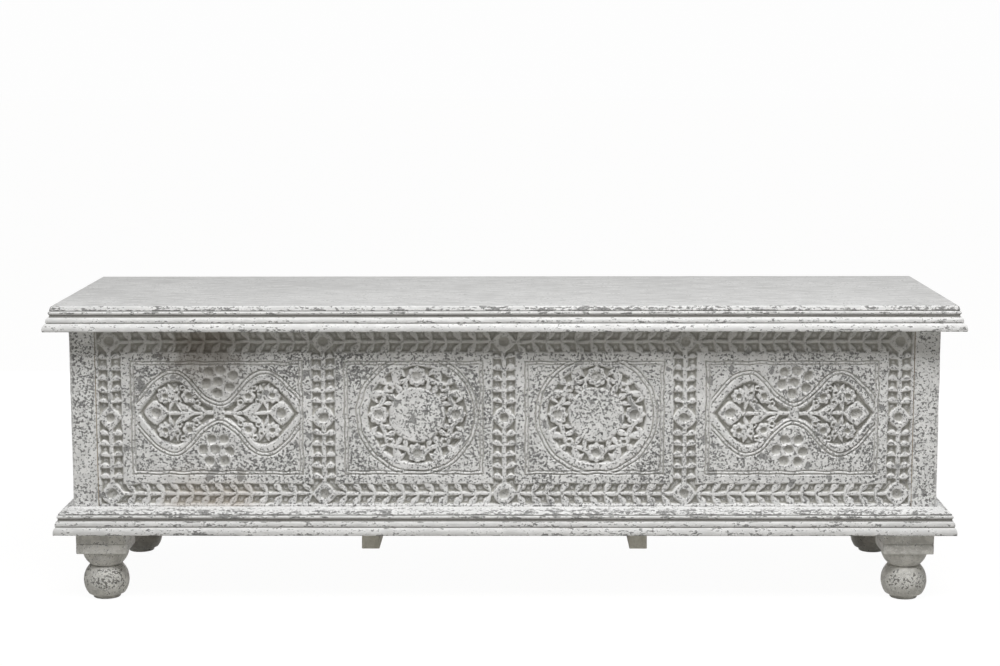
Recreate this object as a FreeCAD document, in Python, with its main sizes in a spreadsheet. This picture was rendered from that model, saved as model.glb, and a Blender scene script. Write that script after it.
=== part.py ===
"""Carved storage bench: a long low chest on four turned feet, with a moulded lid hinged at the back.

Millimetres. +Z is up, +X runs along the bench, +Y points to its back. The origin lies on the floor
under the middle of the bench.
"""
import FreeCAD, Part
import math
import os
from types import SimpleNamespace

import Sketcher

SIZES = {
    # lid
    "lid_length": 1450,
    "lid_depth": 430,
    "seat_height": 480,
    "lid_board_thickness": 15,
    "lid_moulding_height": 25,
    "lid_overhang_side": 35,
    "lid_overhang_front": 35,
    "lid_overhang_back": 15,
    "lid_edge_inset": 12,
    "lid_groove_inset": 10.5,
    "batten_width": 50,
    "batten_spacing": 720,
    # carcass
    "front_panel_thickness": 26,
    "back_panel_thickness": 20,
    "end_panel_thickness": 20,
    "post_width": 41,
    "tongue_thickness": 8,
    "tongue_length": 10,
    "tongue_clearance": 0.2,
    "floor_thickness": 14,
    "floor_rebate": 9,
    "floor_clearance": 0.3,
    "bearer_width": 29,
    "bearer_height": 30,
    "bearer_spacing": 430,
    "bearer_setback": 9,
    # mouldings, shared by the lid and the base
    "base_moulding_height": 42,
    "base_projection": 29,
    "base_shoulder": 17,
    "shoulder_drop": 9,
    "bead_height": 4,
    "bead_proud": 2,
    "groove_height": 2.5,
    "upper_band_height": 11,
    "band_step": 5,
    "quirk_height": 1.6,
    "quirk_depth": 2.2,
    # feet
    "foot_height": 95,
    "foot_side_inset": 80,
    "foot_front_inset": 59,
    "foot_back_inset": 56,
    "foot_square": 80,
    "foot_square_height": 16,
    "foot_block_height": 17,
    "foot_ring_radius": 22,
    "foot_ring_height": 7,
    "foot_ball_radius": 36.5,
    "foot_ball_height": 29,
    "foot_neck_height": 55,
    "foot_bowl_radius": 37,
    "foot_bowl_rim": 8,
    "peg_width": 15,
    "peg_in_foot": 13,
    "peg_in_post": 35,
    "peg_clearance": 0.1,
    # hinges
    "hinge_spacing": 960,
    "hinge_length": 60,
    "leaf_reach": 18,
    "leaf_thickness": 1.9,
    "leaf_recess": 2,
    "leaf_clearance": 0.1,
    "knuckle_radius": 4,
    "knuckle_gap": 0.3,
    "pin_radius": 2,
    "pin_clearance": 0.05,
    "notch_clearance": 0.5,
    # carving on the front
    "vine_width": 43,
    "vine_border": 40,
    "ogee_panel_length": 297,
    "channel_rim": 2.5,
    "ground_depth": 4,
    "recess_depth": 8,
    "line_width": 2,
    "line_depth": 1.6,
    "field_inset": 5,
    "field_depth": 1.2,
    "panel_margin": 12,
    "motif_rise": 5,
    "ogee_reach": 128,
    "ogee_peak_across": 72,
    "ogee_peak_up": 66,
    "ogee_valley_up": 18,
    "ogee_band": 17,
    "cluster_rise": 55,
    "cluster_pitch": 19,
    "grape_radius": 8,
    "roundel_disc_radius": 43,
    "roundel_ring_radius": 80,
    "roundel_line_radius": 94,
    "rosette_radius": 14.5,
    "rosette_dish_radius": 7.5,
    "dish_depth": 3,
    "stem_width": 3,
    "leaf_pitch": 23,
}

KNUCKLES = 3
PLANKS = ("front", "middle", "back")
SIDES = (("left", -1), ("right", 1))
WASTE = 20
# a convex band is an arc of this share of its height, about a centre at this share of its height
BAND_RADIUS = 0.9
BAND_CENTRE = 0.3
BAND_FOOT_INSET = BAND_RADIUS - math.sqrt(BAND_RADIUS**2 - BAND_CENTRE**2)
BAND_HEAD_INSET = BAND_RADIUS - math.sqrt(BAND_RADIUS**2 - (1 - BAND_CENTRE) ** 2)
# a bead is an arc of this share of its height
BEAD_RADIUS = 0.6

doc = FreeCAD.newDocument("storage_bench")
sheet = doc.addObject("Spreadsheet::Sheet", "sizes")
for row, (alias, number) in enumerate(SIZES.items(), start=1):
    sheet.set(f"A{row}", alias)
    sheet.set(f"B{row}", str(number))
    sheet.setAlias(f"B{row}", alias)
doc.recompute()


class Size:
    """A length that carries its value and the cell expression that drives it."""

    def __init__(self, value, text):
        self.value = float(value)
        self.text = text

    def __add__(self, other):
        other = as_size(other)
        return Size(self.value + other.value, f"({self.text} + {other.text})")

    def __sub__(self, other):
        other = as_size(other)
        return Size(self.value - other.value, f"({self.text} - {other.text})")

    def __mul__(self, other):
        other = as_size(other)
        return Size(self.value * other.value, f"({self.text} * {other.text})")

    def __truediv__(self, other):
        other = as_size(other)
        return Size(self.value / other.value, f"({self.text} / {other.text})")

    def __neg__(self):
        return self * -1

    def __float__(self):
        return self.value

    def root(self):
        """Square root."""
        return Size(math.sqrt(self.value), f"sqrt({self.text})")

    __radd__ = __add__
    __rmul__ = __mul__


def as_size(number):
    """Give a plain number the form of a driven length."""
    return number if isinstance(number, Size) else Size(number, f"({number})")


dim = SimpleNamespace(**{alias: Size(sheet.get(alias), f"sizes.{alias}") for alias in SIZES})

# main planes of the bench
lid_end = dim.lid_length / 2
lid_front = dim.lid_depth / -2
lid_back = dim.lid_depth / 2
body_end = lid_end - dim.lid_overhang_side
front_y = lid_front + dim.lid_overhang_front
back_y = lid_back - dim.lid_overhang_back
front_inside = front_y + dim.front_panel_thickness
back_inside = back_y - dim.back_panel_thickness
end_inside = body_end - dim.end_panel_thickness
post_inside = body_end - dim.post_width
front_post_back = front_y + dim.post_width
back_post_front = back_y - dim.post_width
base_z = dim.foot_height + dim.foot_block_height
board_z = dim.seat_height - dim.lid_board_thickness
rim_z = board_z - dim.lid_moulding_height
floor_top = base_z + dim.floor_thickness
base_top = base_z + dim.base_moulding_height
hinge_y = back_y + dim.knuckle_radius + dim.knuckle_gap

pieces = []


def bind(thing, prop, length):
    """Drive one property of a feature from the sheet."""
    thing.setExpression(prop, as_size(length).text)


def name_piece(thing, label):
    """Label a finished sub-part and list it for export."""
    thing.Label = label
    pieces.append(thing)
    return thing


def block(name, x, y, z):
    """A rectangular solid between a low and a high limit on each axis."""
    solid = doc.addObject("Part::Box", name)
    for prop, axis, (low, high) in (("Length", "x", x), ("Width", "y", y), ("Height", "z", z)):
        low = as_size(low)
        bind(solid, prop, as_size(high) - low)
        bind(solid, f"Placement.Base.{axis}", low)
    return solid


def round_bar(name, kind, lengths, place, along):
    """A cylinder or cone whose axis leaves a place in the direction named along."""
    solid = doc.addObject(f"Part::{kind}", name)
    turn = FreeCAD.Rotation(FreeCAD.Vector(0, 0, 1), FreeCAD.Vector(*along))
    solid.Placement = FreeCAD.Placement(FreeCAD.Vector(), turn)
    for prop, length in lengths.items():
        bind(solid, prop, length)
    for axis, length in zip("xyz", place):
        bind(solid, f"Placement.Base.{axis}", length)
    return solid


def group(name, members):
    """Several solids kept side by side."""
    bundle = doc.addObject("Part::Compound", name)
    bundle.Links = members
    return bundle


def fuse(name, members):
    """Several solids joined into one."""
    joined = doc.addObject("Part::MultiFuse", name)
    joined.Shapes = members
    return joined


def cut(name, base, tools):
    """A solid with tools taken out of it."""
    rest = doc.addObject("Part::Cut", name)
    rest.Base = base
    rest.Tool = tools[0] if len(tools) == 1 else group(f"{name}_cuts", tools)
    return rest


def sketch_on(body, name, role, offset=0):
    """A sketch on one of the body's own origin planes, moved along that plane's normal."""
    plane = next(feature for feature in body.Origin.OriginFeatures if feature.Role == role)
    sketch = body.newObject("Sketcher::SketchObject", name)
    sketch.AttachmentSupport = [(plane, "")]
    sketch.MapMode = "FlatFace"
    bind(sketch, "AttachmentOffset.Base.z", offset)
    return sketch


def draw_arc(start, end, radius):
    """An arc that bulges to the right of the way from start to end."""
    chord = end - start
    left = FreeCAD.Vector(-chord.y, chord.x, 0).normalize()
    height = math.sqrt(max(radius**2 - chord.Length**2 / 4, 0))
    centre = (start + end) / 2 + left * height
    first = math.atan2(start.y - centre.y, start.x - centre.x)
    last = math.atan2(end.y - centre.y, end.x - centre.x)
    circle = Part.Circle(centre, FreeCAD.Vector(0, 0, 1), radius)
    return Part.ArcOfCircle(circle, first, last if last > first else last + 2 * math.pi)


def draw_outline(sketch, corners, arcs=None, waste=False):
    """Draw a closed outline; arcs gives the radius of each curved side.

    A curved side bulges out of a piece drawn anticlockwise, and into the outline of waste.
    """
    arcs = arcs or {}
    turned = set(arcs) if waste else set()
    points = [FreeCAD.Vector(float(across), float(up), 0) for across, up in corners]
    base = sketch.GeometryCount
    count = len(points)
    for side, start in enumerate(points):
        end = points[(side + 1) % count]
        if side in turned:
            start, end = end, start
        radius = arcs.get(side)
        drawn = draw_arc(start, end, float(radius)) if radius else Part.LineSegment(start, end)
        sketch.addGeometry(drawn)
    for side, corner in enumerate(corners):
        following = (side + 1) % count
        first, last = (2, 1) if side in turned else (1, 2)
        joining = 2 if following in turned else 1
        sketch.addConstraint(Sketcher.Constraint("Coincident", base + side, last, base + following, joining))
        for kind, length in zip(("DistanceX", "DistanceY"), corner):
            length = as_size(length)
            number = sketch.addConstraint(Sketcher.Constraint(kind, -1, 1, base + side, first, length.value))
            bind(sketch, f"Constraints[{number}]", length)
        if side in arcs:
            radius = arcs[side]
            number = sketch.addConstraint(Sketcher.Constraint("Radius", base + side, float(radius)))
            bind(sketch, f"Constraints[{number}]", radius)


def pad(body, sketch, length, symmetric=False):
    """Raise a sketch along its plane's normal."""
    feature = body.newObject("PartDesign::Pad", f"{sketch.Name}_pad")
    feature.Profile = sketch
    bind(feature, "Length", length)
    feature.SideType = "Symmetric" if symmetric else "One side"
    return feature


def pocket_through(body, sketch):
    """Cut a sketch right through the body, both ways from its plane."""
    feature = body.newObject("PartDesign::Pocket", f"{sketch.Name}_pocket")
    feature.Profile = sketch
    feature.SideType = "Symmetric"
    feature.Type = "ThroughAll"
    return feature


def mirrored(corners, side):
    """Keep an outline, or mirror it across the up axis and turn it anticlockwise again."""
    if side > 0:
        return corners
    return [(-as_size(across), up) for across, up in reversed(corners)]


def mirrored_arcs(arcs, count, side):
    """The arcs of a mirrored outline."""
    if side > 0:
        return arcs
    return {(count - 2 - number) % count: radius for number, radius in arcs.items()}


def band_run(outer, bottom, height):
    """The two convex bands and the quirk between them, from the bottom edge up to a top height."""
    upper = dim.upper_band_height
    lower = height - upper - dim.quirk_height
    step = outer - dim.band_step
    upper_low = bottom + lower + dim.quirk_height
    return [
        (outer - lower * BAND_FOOT_INSET, bottom),
        (outer - lower * BAND_HEAD_INSET, bottom + lower),
        (step - dim.quirk_depth, bottom + lower + dim.quirk_height / 2),
        (step - upper * BAND_FOOT_INSET, upper_low),
        (step - upper * BAND_HEAD_INSET, bottom + height),
    ], {0: lower * BAND_RADIUS, 3: upper * BAND_RADIUS}


def shoulder_run(groove, bead, bottom, top_out, top):
    """Groove, bead and sloping shoulder that finish a moulding at its top."""
    bead_low = bottom + dim.groove_height
    return [
        (groove, bottom),
        (groove, bead_low),
        (bead, bead_low),
        (bead - dim.bead_proud / 2, bead_low + dim.bead_height),
        (top_out, top),
    ], {2: dim.bead_height * BEAD_RADIUS}


def lid_moulding_outline(inner):
    """Section of the lid's edge moulding, as distances out of the carcass and heights."""
    bands, arcs = band_run(dim.lid_overhang_side, rim_z, dim.lid_moulding_height)
    corners = [(inner, rim_z)] + bands + [(inner, board_z)]
    return corners, {number + 1: radius for number, radius in arcs.items()}


def lid_board_outline(inner):
    """Section of the lid board's edge, as distances out of the carcass and heights."""
    groove = dim.lid_overhang_side - dim.lid_groove_inset
    top_out = dim.lid_overhang_side - dim.lid_edge_inset
    edge, arcs = shoulder_run(groove, groove + dim.bead_proud, board_z, top_out, dim.seat_height)
    corners = [(inner, board_z)] + edge + [(inner, dim.seat_height)]
    return corners, {number + 1: radius for number, radius in arcs.items()}


def base_moulding_outline():
    """Section of the base moulding, as distances out of the carcass and heights."""
    shoulder_z = base_top - dim.shoulder_drop
    groove_z = shoulder_z - dim.bead_height - dim.groove_height
    bands, arcs = band_run(dim.base_projection, base_z, groove_z - base_z)
    edge, bead = shoulder_run(dim.base_shoulder, dim.base_shoulder + dim.bead_proud, groove_z, 0, base_top)
    corners = [(0, base_z)] + bands + edge
    rounds = {number + 1: radius for number, radius in arcs.items()}
    rounds.update({number + 1 + len(bands): radius for number, radius in bead.items()})
    return corners, rounds


def front_strip(label, outline, outer, inner):
    """A moulding along the front, with both ends mitred to the side mouldings."""
    corners, arcs = outline
    body = doc.addObject("PartDesign::Body", label)
    section = sketch_on(body, f"{label}_section", "YZ_Plane")
    turned = [(front_y - out, up) for out, up in reversed(corners)]
    draw_outline(section, turned, mirrored_arcs(arcs, len(corners), -1))
    pad(body, section, (body_end + outer) * 2, symmetric=True)
    mitre = sketch_on(body, f"{label}_mitre", "XY_Plane")
    reach = inner + WASTE
    for side in (-1, 1):
        waste = [
            (body_end + outer + WASTE, front_y - outer - WASTE),
            (body_end + outer + WASTE, front_y + reach),
            (body_end - reach, front_y + reach),
        ]
        draw_outline(mitre, mirrored(waste, side))
    pocket_through(body, mitre)
    return name_piece(body, label)


def side_strip(label, side, outline, outer, inner, back):
    """A moulding along one end, mitred at the front and square at the back."""
    corners, arcs = outline
    body = doc.addObject("PartDesign::Body", label)
    section = sketch_on(body, f"{label}_section", "XZ_Plane", -back)
    placed = [(body_end + out, up) for out, up in corners]
    draw_outline(section, mirrored(placed, side), mirrored_arcs(arcs, len(corners), side))
    pad(body, section, back - front_y + outer)
    mitre = sketch_on(body, f"{label}_mitre", "XY_Plane")
    reach = inner + WASTE
    waste = [
        (body_end + outer + WASTE, front_y - outer - WASTE),
        (body_end - reach, front_y + reach),
        (body_end - reach, front_y - outer - WASTE),
    ]
    draw_outline(mitre, mirrored(waste, side))
    pocket_through(body, mitre)
    return name_piece(body, label)


def make_posts():
    """Four corner posts, grooved for the panels' tongues and mortised for the foot pegs."""
    groove_low = dim.tongue_clearance + dim.tongue_thickness / 2
    depth = dim.tongue_length + dim.tongue_clearance
    rows = (
        ("front", front_y, front_post_back, front_y + dim.front_panel_thickness / 2, front_post_back),
        ("back", back_post_front, back_y, back_y - dim.back_panel_thickness / 2, back_post_front),
    )
    for row_name, low_y, high_y, panel_mid, open_face in rows:
        for side_name, side in SIDES:
            label = f"corner_post_{row_name}_{side_name}"
            faces = sorted((body_end * side, post_inside * side), key=float)
            post = block(f"{label}_blank", faces, (low_y, high_y), (base_z, rim_z))
            into_post = sorted((post_inside * side, (post_inside + depth) * side), key=float)
            long_groove = block(
                f"{label}_long_groove",
                into_post,
                (panel_mid - groove_low, panel_mid + groove_low),
                (base_z, rim_z),
            )
            end_mid = (body_end - dim.end_panel_thickness / 2) * side
            inward = -1 if row_name == "front" else 1
            from_end = sorted((open_face, open_face + depth * inward), key=float)
            end_groove = block(
                f"{label}_end_groove",
                (end_mid - groove_low, end_mid + groove_low),
                from_end,
                (base_z, rim_z),
            )
            middle = ((body_end - dim.post_width / 2) * side, (low_y + high_y) / 2)
            peg_top = base_z + dim.peg_in_post
            mortise = peg_block(f"{label}_mortise", *middle, base_z, peg_top, dim.peg_clearance)
            name_piece(cut(label, post, [long_groove, end_groove, mortise]), label)


def peg_block(name, x, y, low, high, grow=0):
    """A square peg, or the mortise for it when grown by a clearance."""
    half = dim.peg_width / 2 + grow
    return block(name, (x - half, x + half), (y - half, y + half), (low, high))


def hinge_places():
    """Each hinge's name and its middle along the bench."""
    return [(name, dim.hinge_spacing / 2 * side) for name, side in SIDES]


def make_back_panel():
    """Plain back board with end tongues, a floor rebate and recesses for the lower hinge leaves."""
    mid = back_y - dim.back_panel_thickness / 2
    half = dim.tongue_thickness / 2
    tongue_end = post_inside + dim.tongue_length
    board = block("back_board", (-post_inside, post_inside), (back_inside, back_y), (base_z, rim_z))
    tongue = block("back_tongue", (-tongue_end, tongue_end), (mid - half, mid + half), (base_z, rim_z))
    rebate = block(
        "back_rebate",
        (-post_inside, post_inside),
        (back_inside, back_inside + dim.floor_rebate),
        (base_z, floor_top),
    )
    half_hinge = dim.hinge_length / 2 + dim.knuckle_gap
    recesses = [
        block(
            f"back_recess_{name}",
            (x - half_hinge, x + half_hinge),
            (back_y - dim.leaf_reach, back_y),
            (rim_z - dim.leaf_recess, rim_z),
        )
        for name, x in hinge_places()
    ]
    name_piece(cut("back_panel", fuse("back_blank", [board, tongue]), [rebate] + recesses), "back_panel")


def make_end_panels():
    """Plain end boards, tongued into the posts and rebated for the floor."""
    half = dim.tongue_thickness / 2
    for side_name, side in SIDES:
        label = f"end_panel_{side_name}"
        faces = sorted((body_end * side, end_inside * side), key=float)
        board = block(f"{label}_board", faces, (front_post_back, back_post_front), (base_z, rim_z))
        mid = (body_end - dim.end_panel_thickness / 2) * side
        tongue = block(
            f"{label}_tongue",
            (mid - half, mid + half),
            (front_post_back - dim.tongue_length, back_post_front + dim.tongue_length),
            (base_z, rim_z),
        )
        inner = sorted((end_inside * side, (end_inside + dim.floor_rebate) * side), key=float)
        rebate = block(f"{label}_rebate", inner, (front_post_back, back_post_front), (base_z, floor_top))
        name_piece(cut(label, fuse(f"{label}_blank", [board, tongue]), [rebate]), label)


def make_floor():
    """Three floor boards let up into the rebates, and the two bearers that carry them."""
    front_edge = front_inside - dim.floor_rebate + dim.floor_clearance
    back_edge = back_inside + dim.floor_rebate - dim.floor_clearance
    width = (back_edge - front_edge) / len(PLANKS)
    reach = end_inside + dim.floor_rebate - dim.floor_clearance
    gap = dim.floor_clearance
    for number, plank in enumerate(PLANKS):
        label = f"floor_board_{plank}"
        low = front_edge + width * number
        board = block(f"{label}_blank", (-reach, reach), (low, low + width), (base_z, floor_top))
        notches = []
        for side_name, side in SIDES:
            for row_name, (near, far) in (
                ("front", (front_y, front_post_back + gap)),
                ("back", (back_post_front - gap, back_y)),
            ):
                faces = sorted((body_end * side, (post_inside - gap) * side), key=float)
                name = f"{label}_notch_{row_name}_{side_name}"
                notches.append(block(name, faces, (near, far), (base_z, floor_top)))
        name_piece(cut(label, board, notches), label)
    half = dim.bearer_width / 2
    for side_name, side in SIDES:
        middle = dim.bearer_spacing / 2 * side
        bearer = block(
            f"bearer_{side_name}",
            (middle - half, middle + half),
            (front_y + dim.bearer_setback, back_y - dim.bearer_setback),
            (base_z - dim.bearer_height, base_z),
        )
        name_piece(bearer, f"bearer_{side_name}")


def foot_rows():
    """Each row of feet: its name, the feet's axes and the middle of the posts above them."""
    return (
        ("front", lid_front + dim.foot_front_inset, (front_y + front_post_back) / 2),
        ("back", lid_back - dim.foot_back_inset, (back_y + back_post_front) / 2),
    )


def turned_profile(square_z):
    """Half section of the turning: floor ring, ball, and a bowl with an upright rim."""
    ball = dim.foot_ball_radius
    low = dim.foot_ring_height - dim.foot_ball_height
    neck = dim.foot_neck_height - dim.foot_ball_height
    shoulder = (ball * ball - low * low).root()
    neck_radius = (ball * ball - neck * neck).root()
    corners = [
        (0, 0),
        (dim.foot_ring_radius, 0),
        (dim.foot_ring_radius, dim.foot_ring_height),
        (shoulder, dim.foot_ring_height),
        (neck_radius, dim.foot_neck_height),
        (dim.foot_bowl_radius, square_z - dim.foot_bowl_rim),
        (dim.foot_bowl_radius, square_z),
        (0, square_z),
    ]
    return corners, {3: ball}


def make_foot(label, x, y, peg_x, peg_y):
    """A turned foot under a square top, mortised for its peg."""
    body = doc.addObject("PartDesign::Body", label)
    square_z = dim.foot_height - dim.foot_square_height
    turned = sketch_on(body, f"{label}_turning", "XZ_Plane")
    draw_outline(turned, *turned_profile(square_z))
    turning = body.newObject("PartDesign::Revolution", f"{label}_revolution")
    turning.Profile = turned
    turning.ReferenceAxis = (turned, ["V_Axis"])
    turning.Angle = 360
    top = sketch_on(body, f"{label}_square", "XY_Plane", square_z)
    draw_outline(top, square_corners(0, 0, dim.foot_square / 2))
    pad(body, top, dim.foot_square_height)
    mouth = sketch_on(body, f"{label}_mouth", "XY_Plane", dim.foot_height)
    draw_outline(mouth, square_corners(peg_x - x, peg_y - y, dim.peg_width / 2 + dim.peg_clearance))
    mortise = body.newObject("PartDesign::Pocket", f"{label}_mortise")
    mortise.Profile = mouth
    bind(mortise, "Length", dim.peg_in_foot)
    bind(body, "Placement.Base.x", x)
    bind(body, "Placement.Base.y", y)
    return body


def square_corners(x, y, half):
    """Corners of a square about a middle point, anticlockwise."""
    x = as_size(x)
    y = as_size(y)
    return [(x - half, y - half), (x + half, y - half), (x + half, y + half), (x - half, y + half)]


def make_feet():
    """The feet in pairs, the square block over each and the pegs that hold both to the posts."""
    half = dim.foot_square / 2
    pegs = []
    for row_name, y, peg_y in foot_rows():
        feet = []
        for side_name, side in SIDES:
            place = f"{row_name}_{side_name}"
            x = (lid_end - dim.foot_side_inset) * side
            peg_x = (body_end - dim.post_width / 2) * side
            feet.append(make_foot(f"foot_{place}", x, y, peg_x, peg_y))
            label = f"foot_block_{place}"
            height = (dim.foot_height, base_z)
            plain = block(f"{label}_blank", (x - half, x + half), (y - half, y + half), height)
            hole = peg_block(f"{label}_hole", peg_x, peg_y, dim.foot_height, base_z, dim.peg_clearance)
            name_piece(cut(label, plain, [hole]), label)
            low = dim.foot_height - dim.peg_in_foot
            pegs.append(peg_block(f"peg_{place}", peg_x, peg_y, low, base_z + dim.peg_in_post))
        name_piece(group(f"feet_{row_name}", feet), f"feet_{row_name}")
    name_piece(group("foot_pegs", pegs), "foot_pegs")


def make_base_mouldings():
    """The moulding that runs round the foot of the carcass on its front and ends."""
    outline = base_moulding_outline()
    front_strip("base_moulding_front", outline, dim.base_projection, 0)
    for side_name, side in SIDES:
        side_strip(f"base_moulding_{side_name}", side, outline, dim.base_projection, 0, back_y)


def make_lid_boards():
    """Three planks whose ends, and the front one's edge, are moulded."""
    corners, arcs = lid_board_outline(-body_end)
    right = [(body_end + out, up) for out, up in corners[1:-1]]
    right_arcs = {number - 1: radius for number, radius in arcs.items()}
    left = mirrored(right, -1)
    turned_arcs = mirrored_arcs(arcs, len(corners), -1)
    left_arcs = {number + len(right) - 1: radius for number, radius in turned_arcs.items()}
    groove = dim.lid_overhang_side - dim.lid_groove_inset
    front_edge = front_y - groove - dim.bead_proud
    width = (lid_back - front_edge) / len(PLANKS)
    for number, plank in enumerate(PLANKS):
        label = f"lid_board_{plank}"
        body = doc.addObject("PartDesign::Body", label)
        back = front_edge + width * (number + 1)
        section = sketch_on(body, f"{label}_section", "XZ_Plane", -back)
        draw_outline(section, right + left, {**right_arcs, **left_arcs})
        pad(body, section, width)
        if plank == "front":
            shape_front_edge(body, label, corners[1:-1], right_arcs)
        name_piece(body, label)


def shape_front_edge(body, label, edge, arcs):
    """Run the edge moulding along the front of a plank by cutting its waste away."""
    waste = sketch_on(body, f"{label}_edge", "YZ_Plane")
    run = [(front_y - out, up) for out, up in edge]
    beyond = lid_front - WASTE
    low = (beyond, edge[0][1])
    high = (beyond, edge[-1][1])
    draw_outline(waste, run + [high, low], arcs, waste=True)
    pocket_through(body, waste)


def make_lid_frame():
    """The mitred moulding under the planks, its plain back rail and two battens."""
    front_strip(
        "lid_moulding_front",
        lid_moulding_outline(-dim.front_panel_thickness),
        dim.lid_overhang_front,
        dim.front_panel_thickness,
    )
    for side_name, side in SIDES:
        side_strip(
            f"lid_moulding_{side_name}",
            side,
            lid_moulding_outline(-dim.end_panel_thickness),
            dim.lid_overhang_side,
            dim.front_panel_thickness,
            lid_back,
        )
    rail = block("lid_rail_blank", (-end_inside, end_inside), (back_inside, lid_back), (rim_z, board_z))
    half_hinge = dim.hinge_length / 2 + dim.knuckle_gap
    half_notch = dim.knuckle_radius + dim.notch_clearance
    hollows = []
    for name, x in hinge_places():
        span = (x - half_hinge, x + half_hinge)
        leaf_y = (back_y - dim.leaf_reach, hinge_y)
        hollows.append(block(f"lid_recess_{name}", span, leaf_y, (rim_z, rim_z + dim.leaf_recess)))
        notch_y = (hinge_y - half_notch, hinge_y + half_notch)
        hollows.append(block(f"lid_notch_{name}", span, notch_y, (rim_z, rim_z + half_notch)))
    name_piece(cut("lid_rail_back", rail, [fuse("lid_hinge_hollows", hollows)]), "lid_rail_back")
    half = dim.batten_width / 2
    for side_name, side in SIDES:
        middle = dim.batten_spacing / 2 * side
        span = (middle - half, middle + half)
        batten = block(f"lid_batten_{side_name}", span, (front_inside, back_inside), (rim_z, board_z))
        name_piece(batten, f"lid_batten_{side_name}")


def hinge_leaf(label, middle, rise, owned):
    """A hinge leaf let into the wood, with its own share of the knuckles."""
    half = dim.hinge_length / 2
    seat = rim_z + dim.leaf_recess * rise
    face = seat - dim.leaf_thickness * rise
    faces = sorted((seat, face), key=float)
    plate_back = back_y - dim.leaf_clearance
    plate = block(
        f"{label}_plate",
        (middle - half, middle + half),
        (back_y - dim.leaf_reach + dim.knuckle_gap, plate_back),
        faces,
    )
    pitch = (dim.hinge_length + dim.knuckle_gap) / KNUCKLES
    solids = [plate]
    for number in owned:
        low = middle - half + pitch * number
        high = low + pitch - dim.knuckle_gap
        solids.append(
            round_bar(
                f"{label}_knuckle_{number}",
                "Cylinder",
                {"Radius": dim.knuckle_radius, "Height": high - low},
                (low, hinge_y, rim_z),
                (1, 0, 0),
            )
        )
        solids.append(block(f"{label}_neck_{number}", (low, high), (plate_back, hinge_y), faces))
    bore = round_bar(
        f"{label}_bore",
        "Cylinder",
        {"Radius": dim.pin_radius + dim.pin_clearance, "Height": dim.hinge_length},
        (middle - half, hinge_y, rim_z),
        (1, 0, 0),
    )
    return cut(label, fuse(f"{label}_blank", solids), [bore])


def make_hinges():
    """The butt hinges: their lower leaves, upper leaves and pins."""
    places = hinge_places()
    lower = [hinge_leaf(f"lower_leaf_{name}", x, -1, range(0, KNUCKLES, 2)) for name, x in places]
    upper = [hinge_leaf(f"upper_leaf_{name}", x, 1, range(1, KNUCKLES, 2)) for name, x in places]
    lengths = {"Radius": dim.pin_radius, "Height": dim.hinge_length}
    pins = [
        round_bar(f"pin_{name}", "Cylinder", lengths, (x - dim.hinge_length / 2, hinge_y, rim_z), (1, 0, 0))
        for name, x in places
    ]
    sets = {"hinge_leaves_lower": lower, "hinge_leaves_upper": upper, "hinge_pins": pins}
    for label, members in sets.items():
        name_piece(group(label, members), label)


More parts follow.
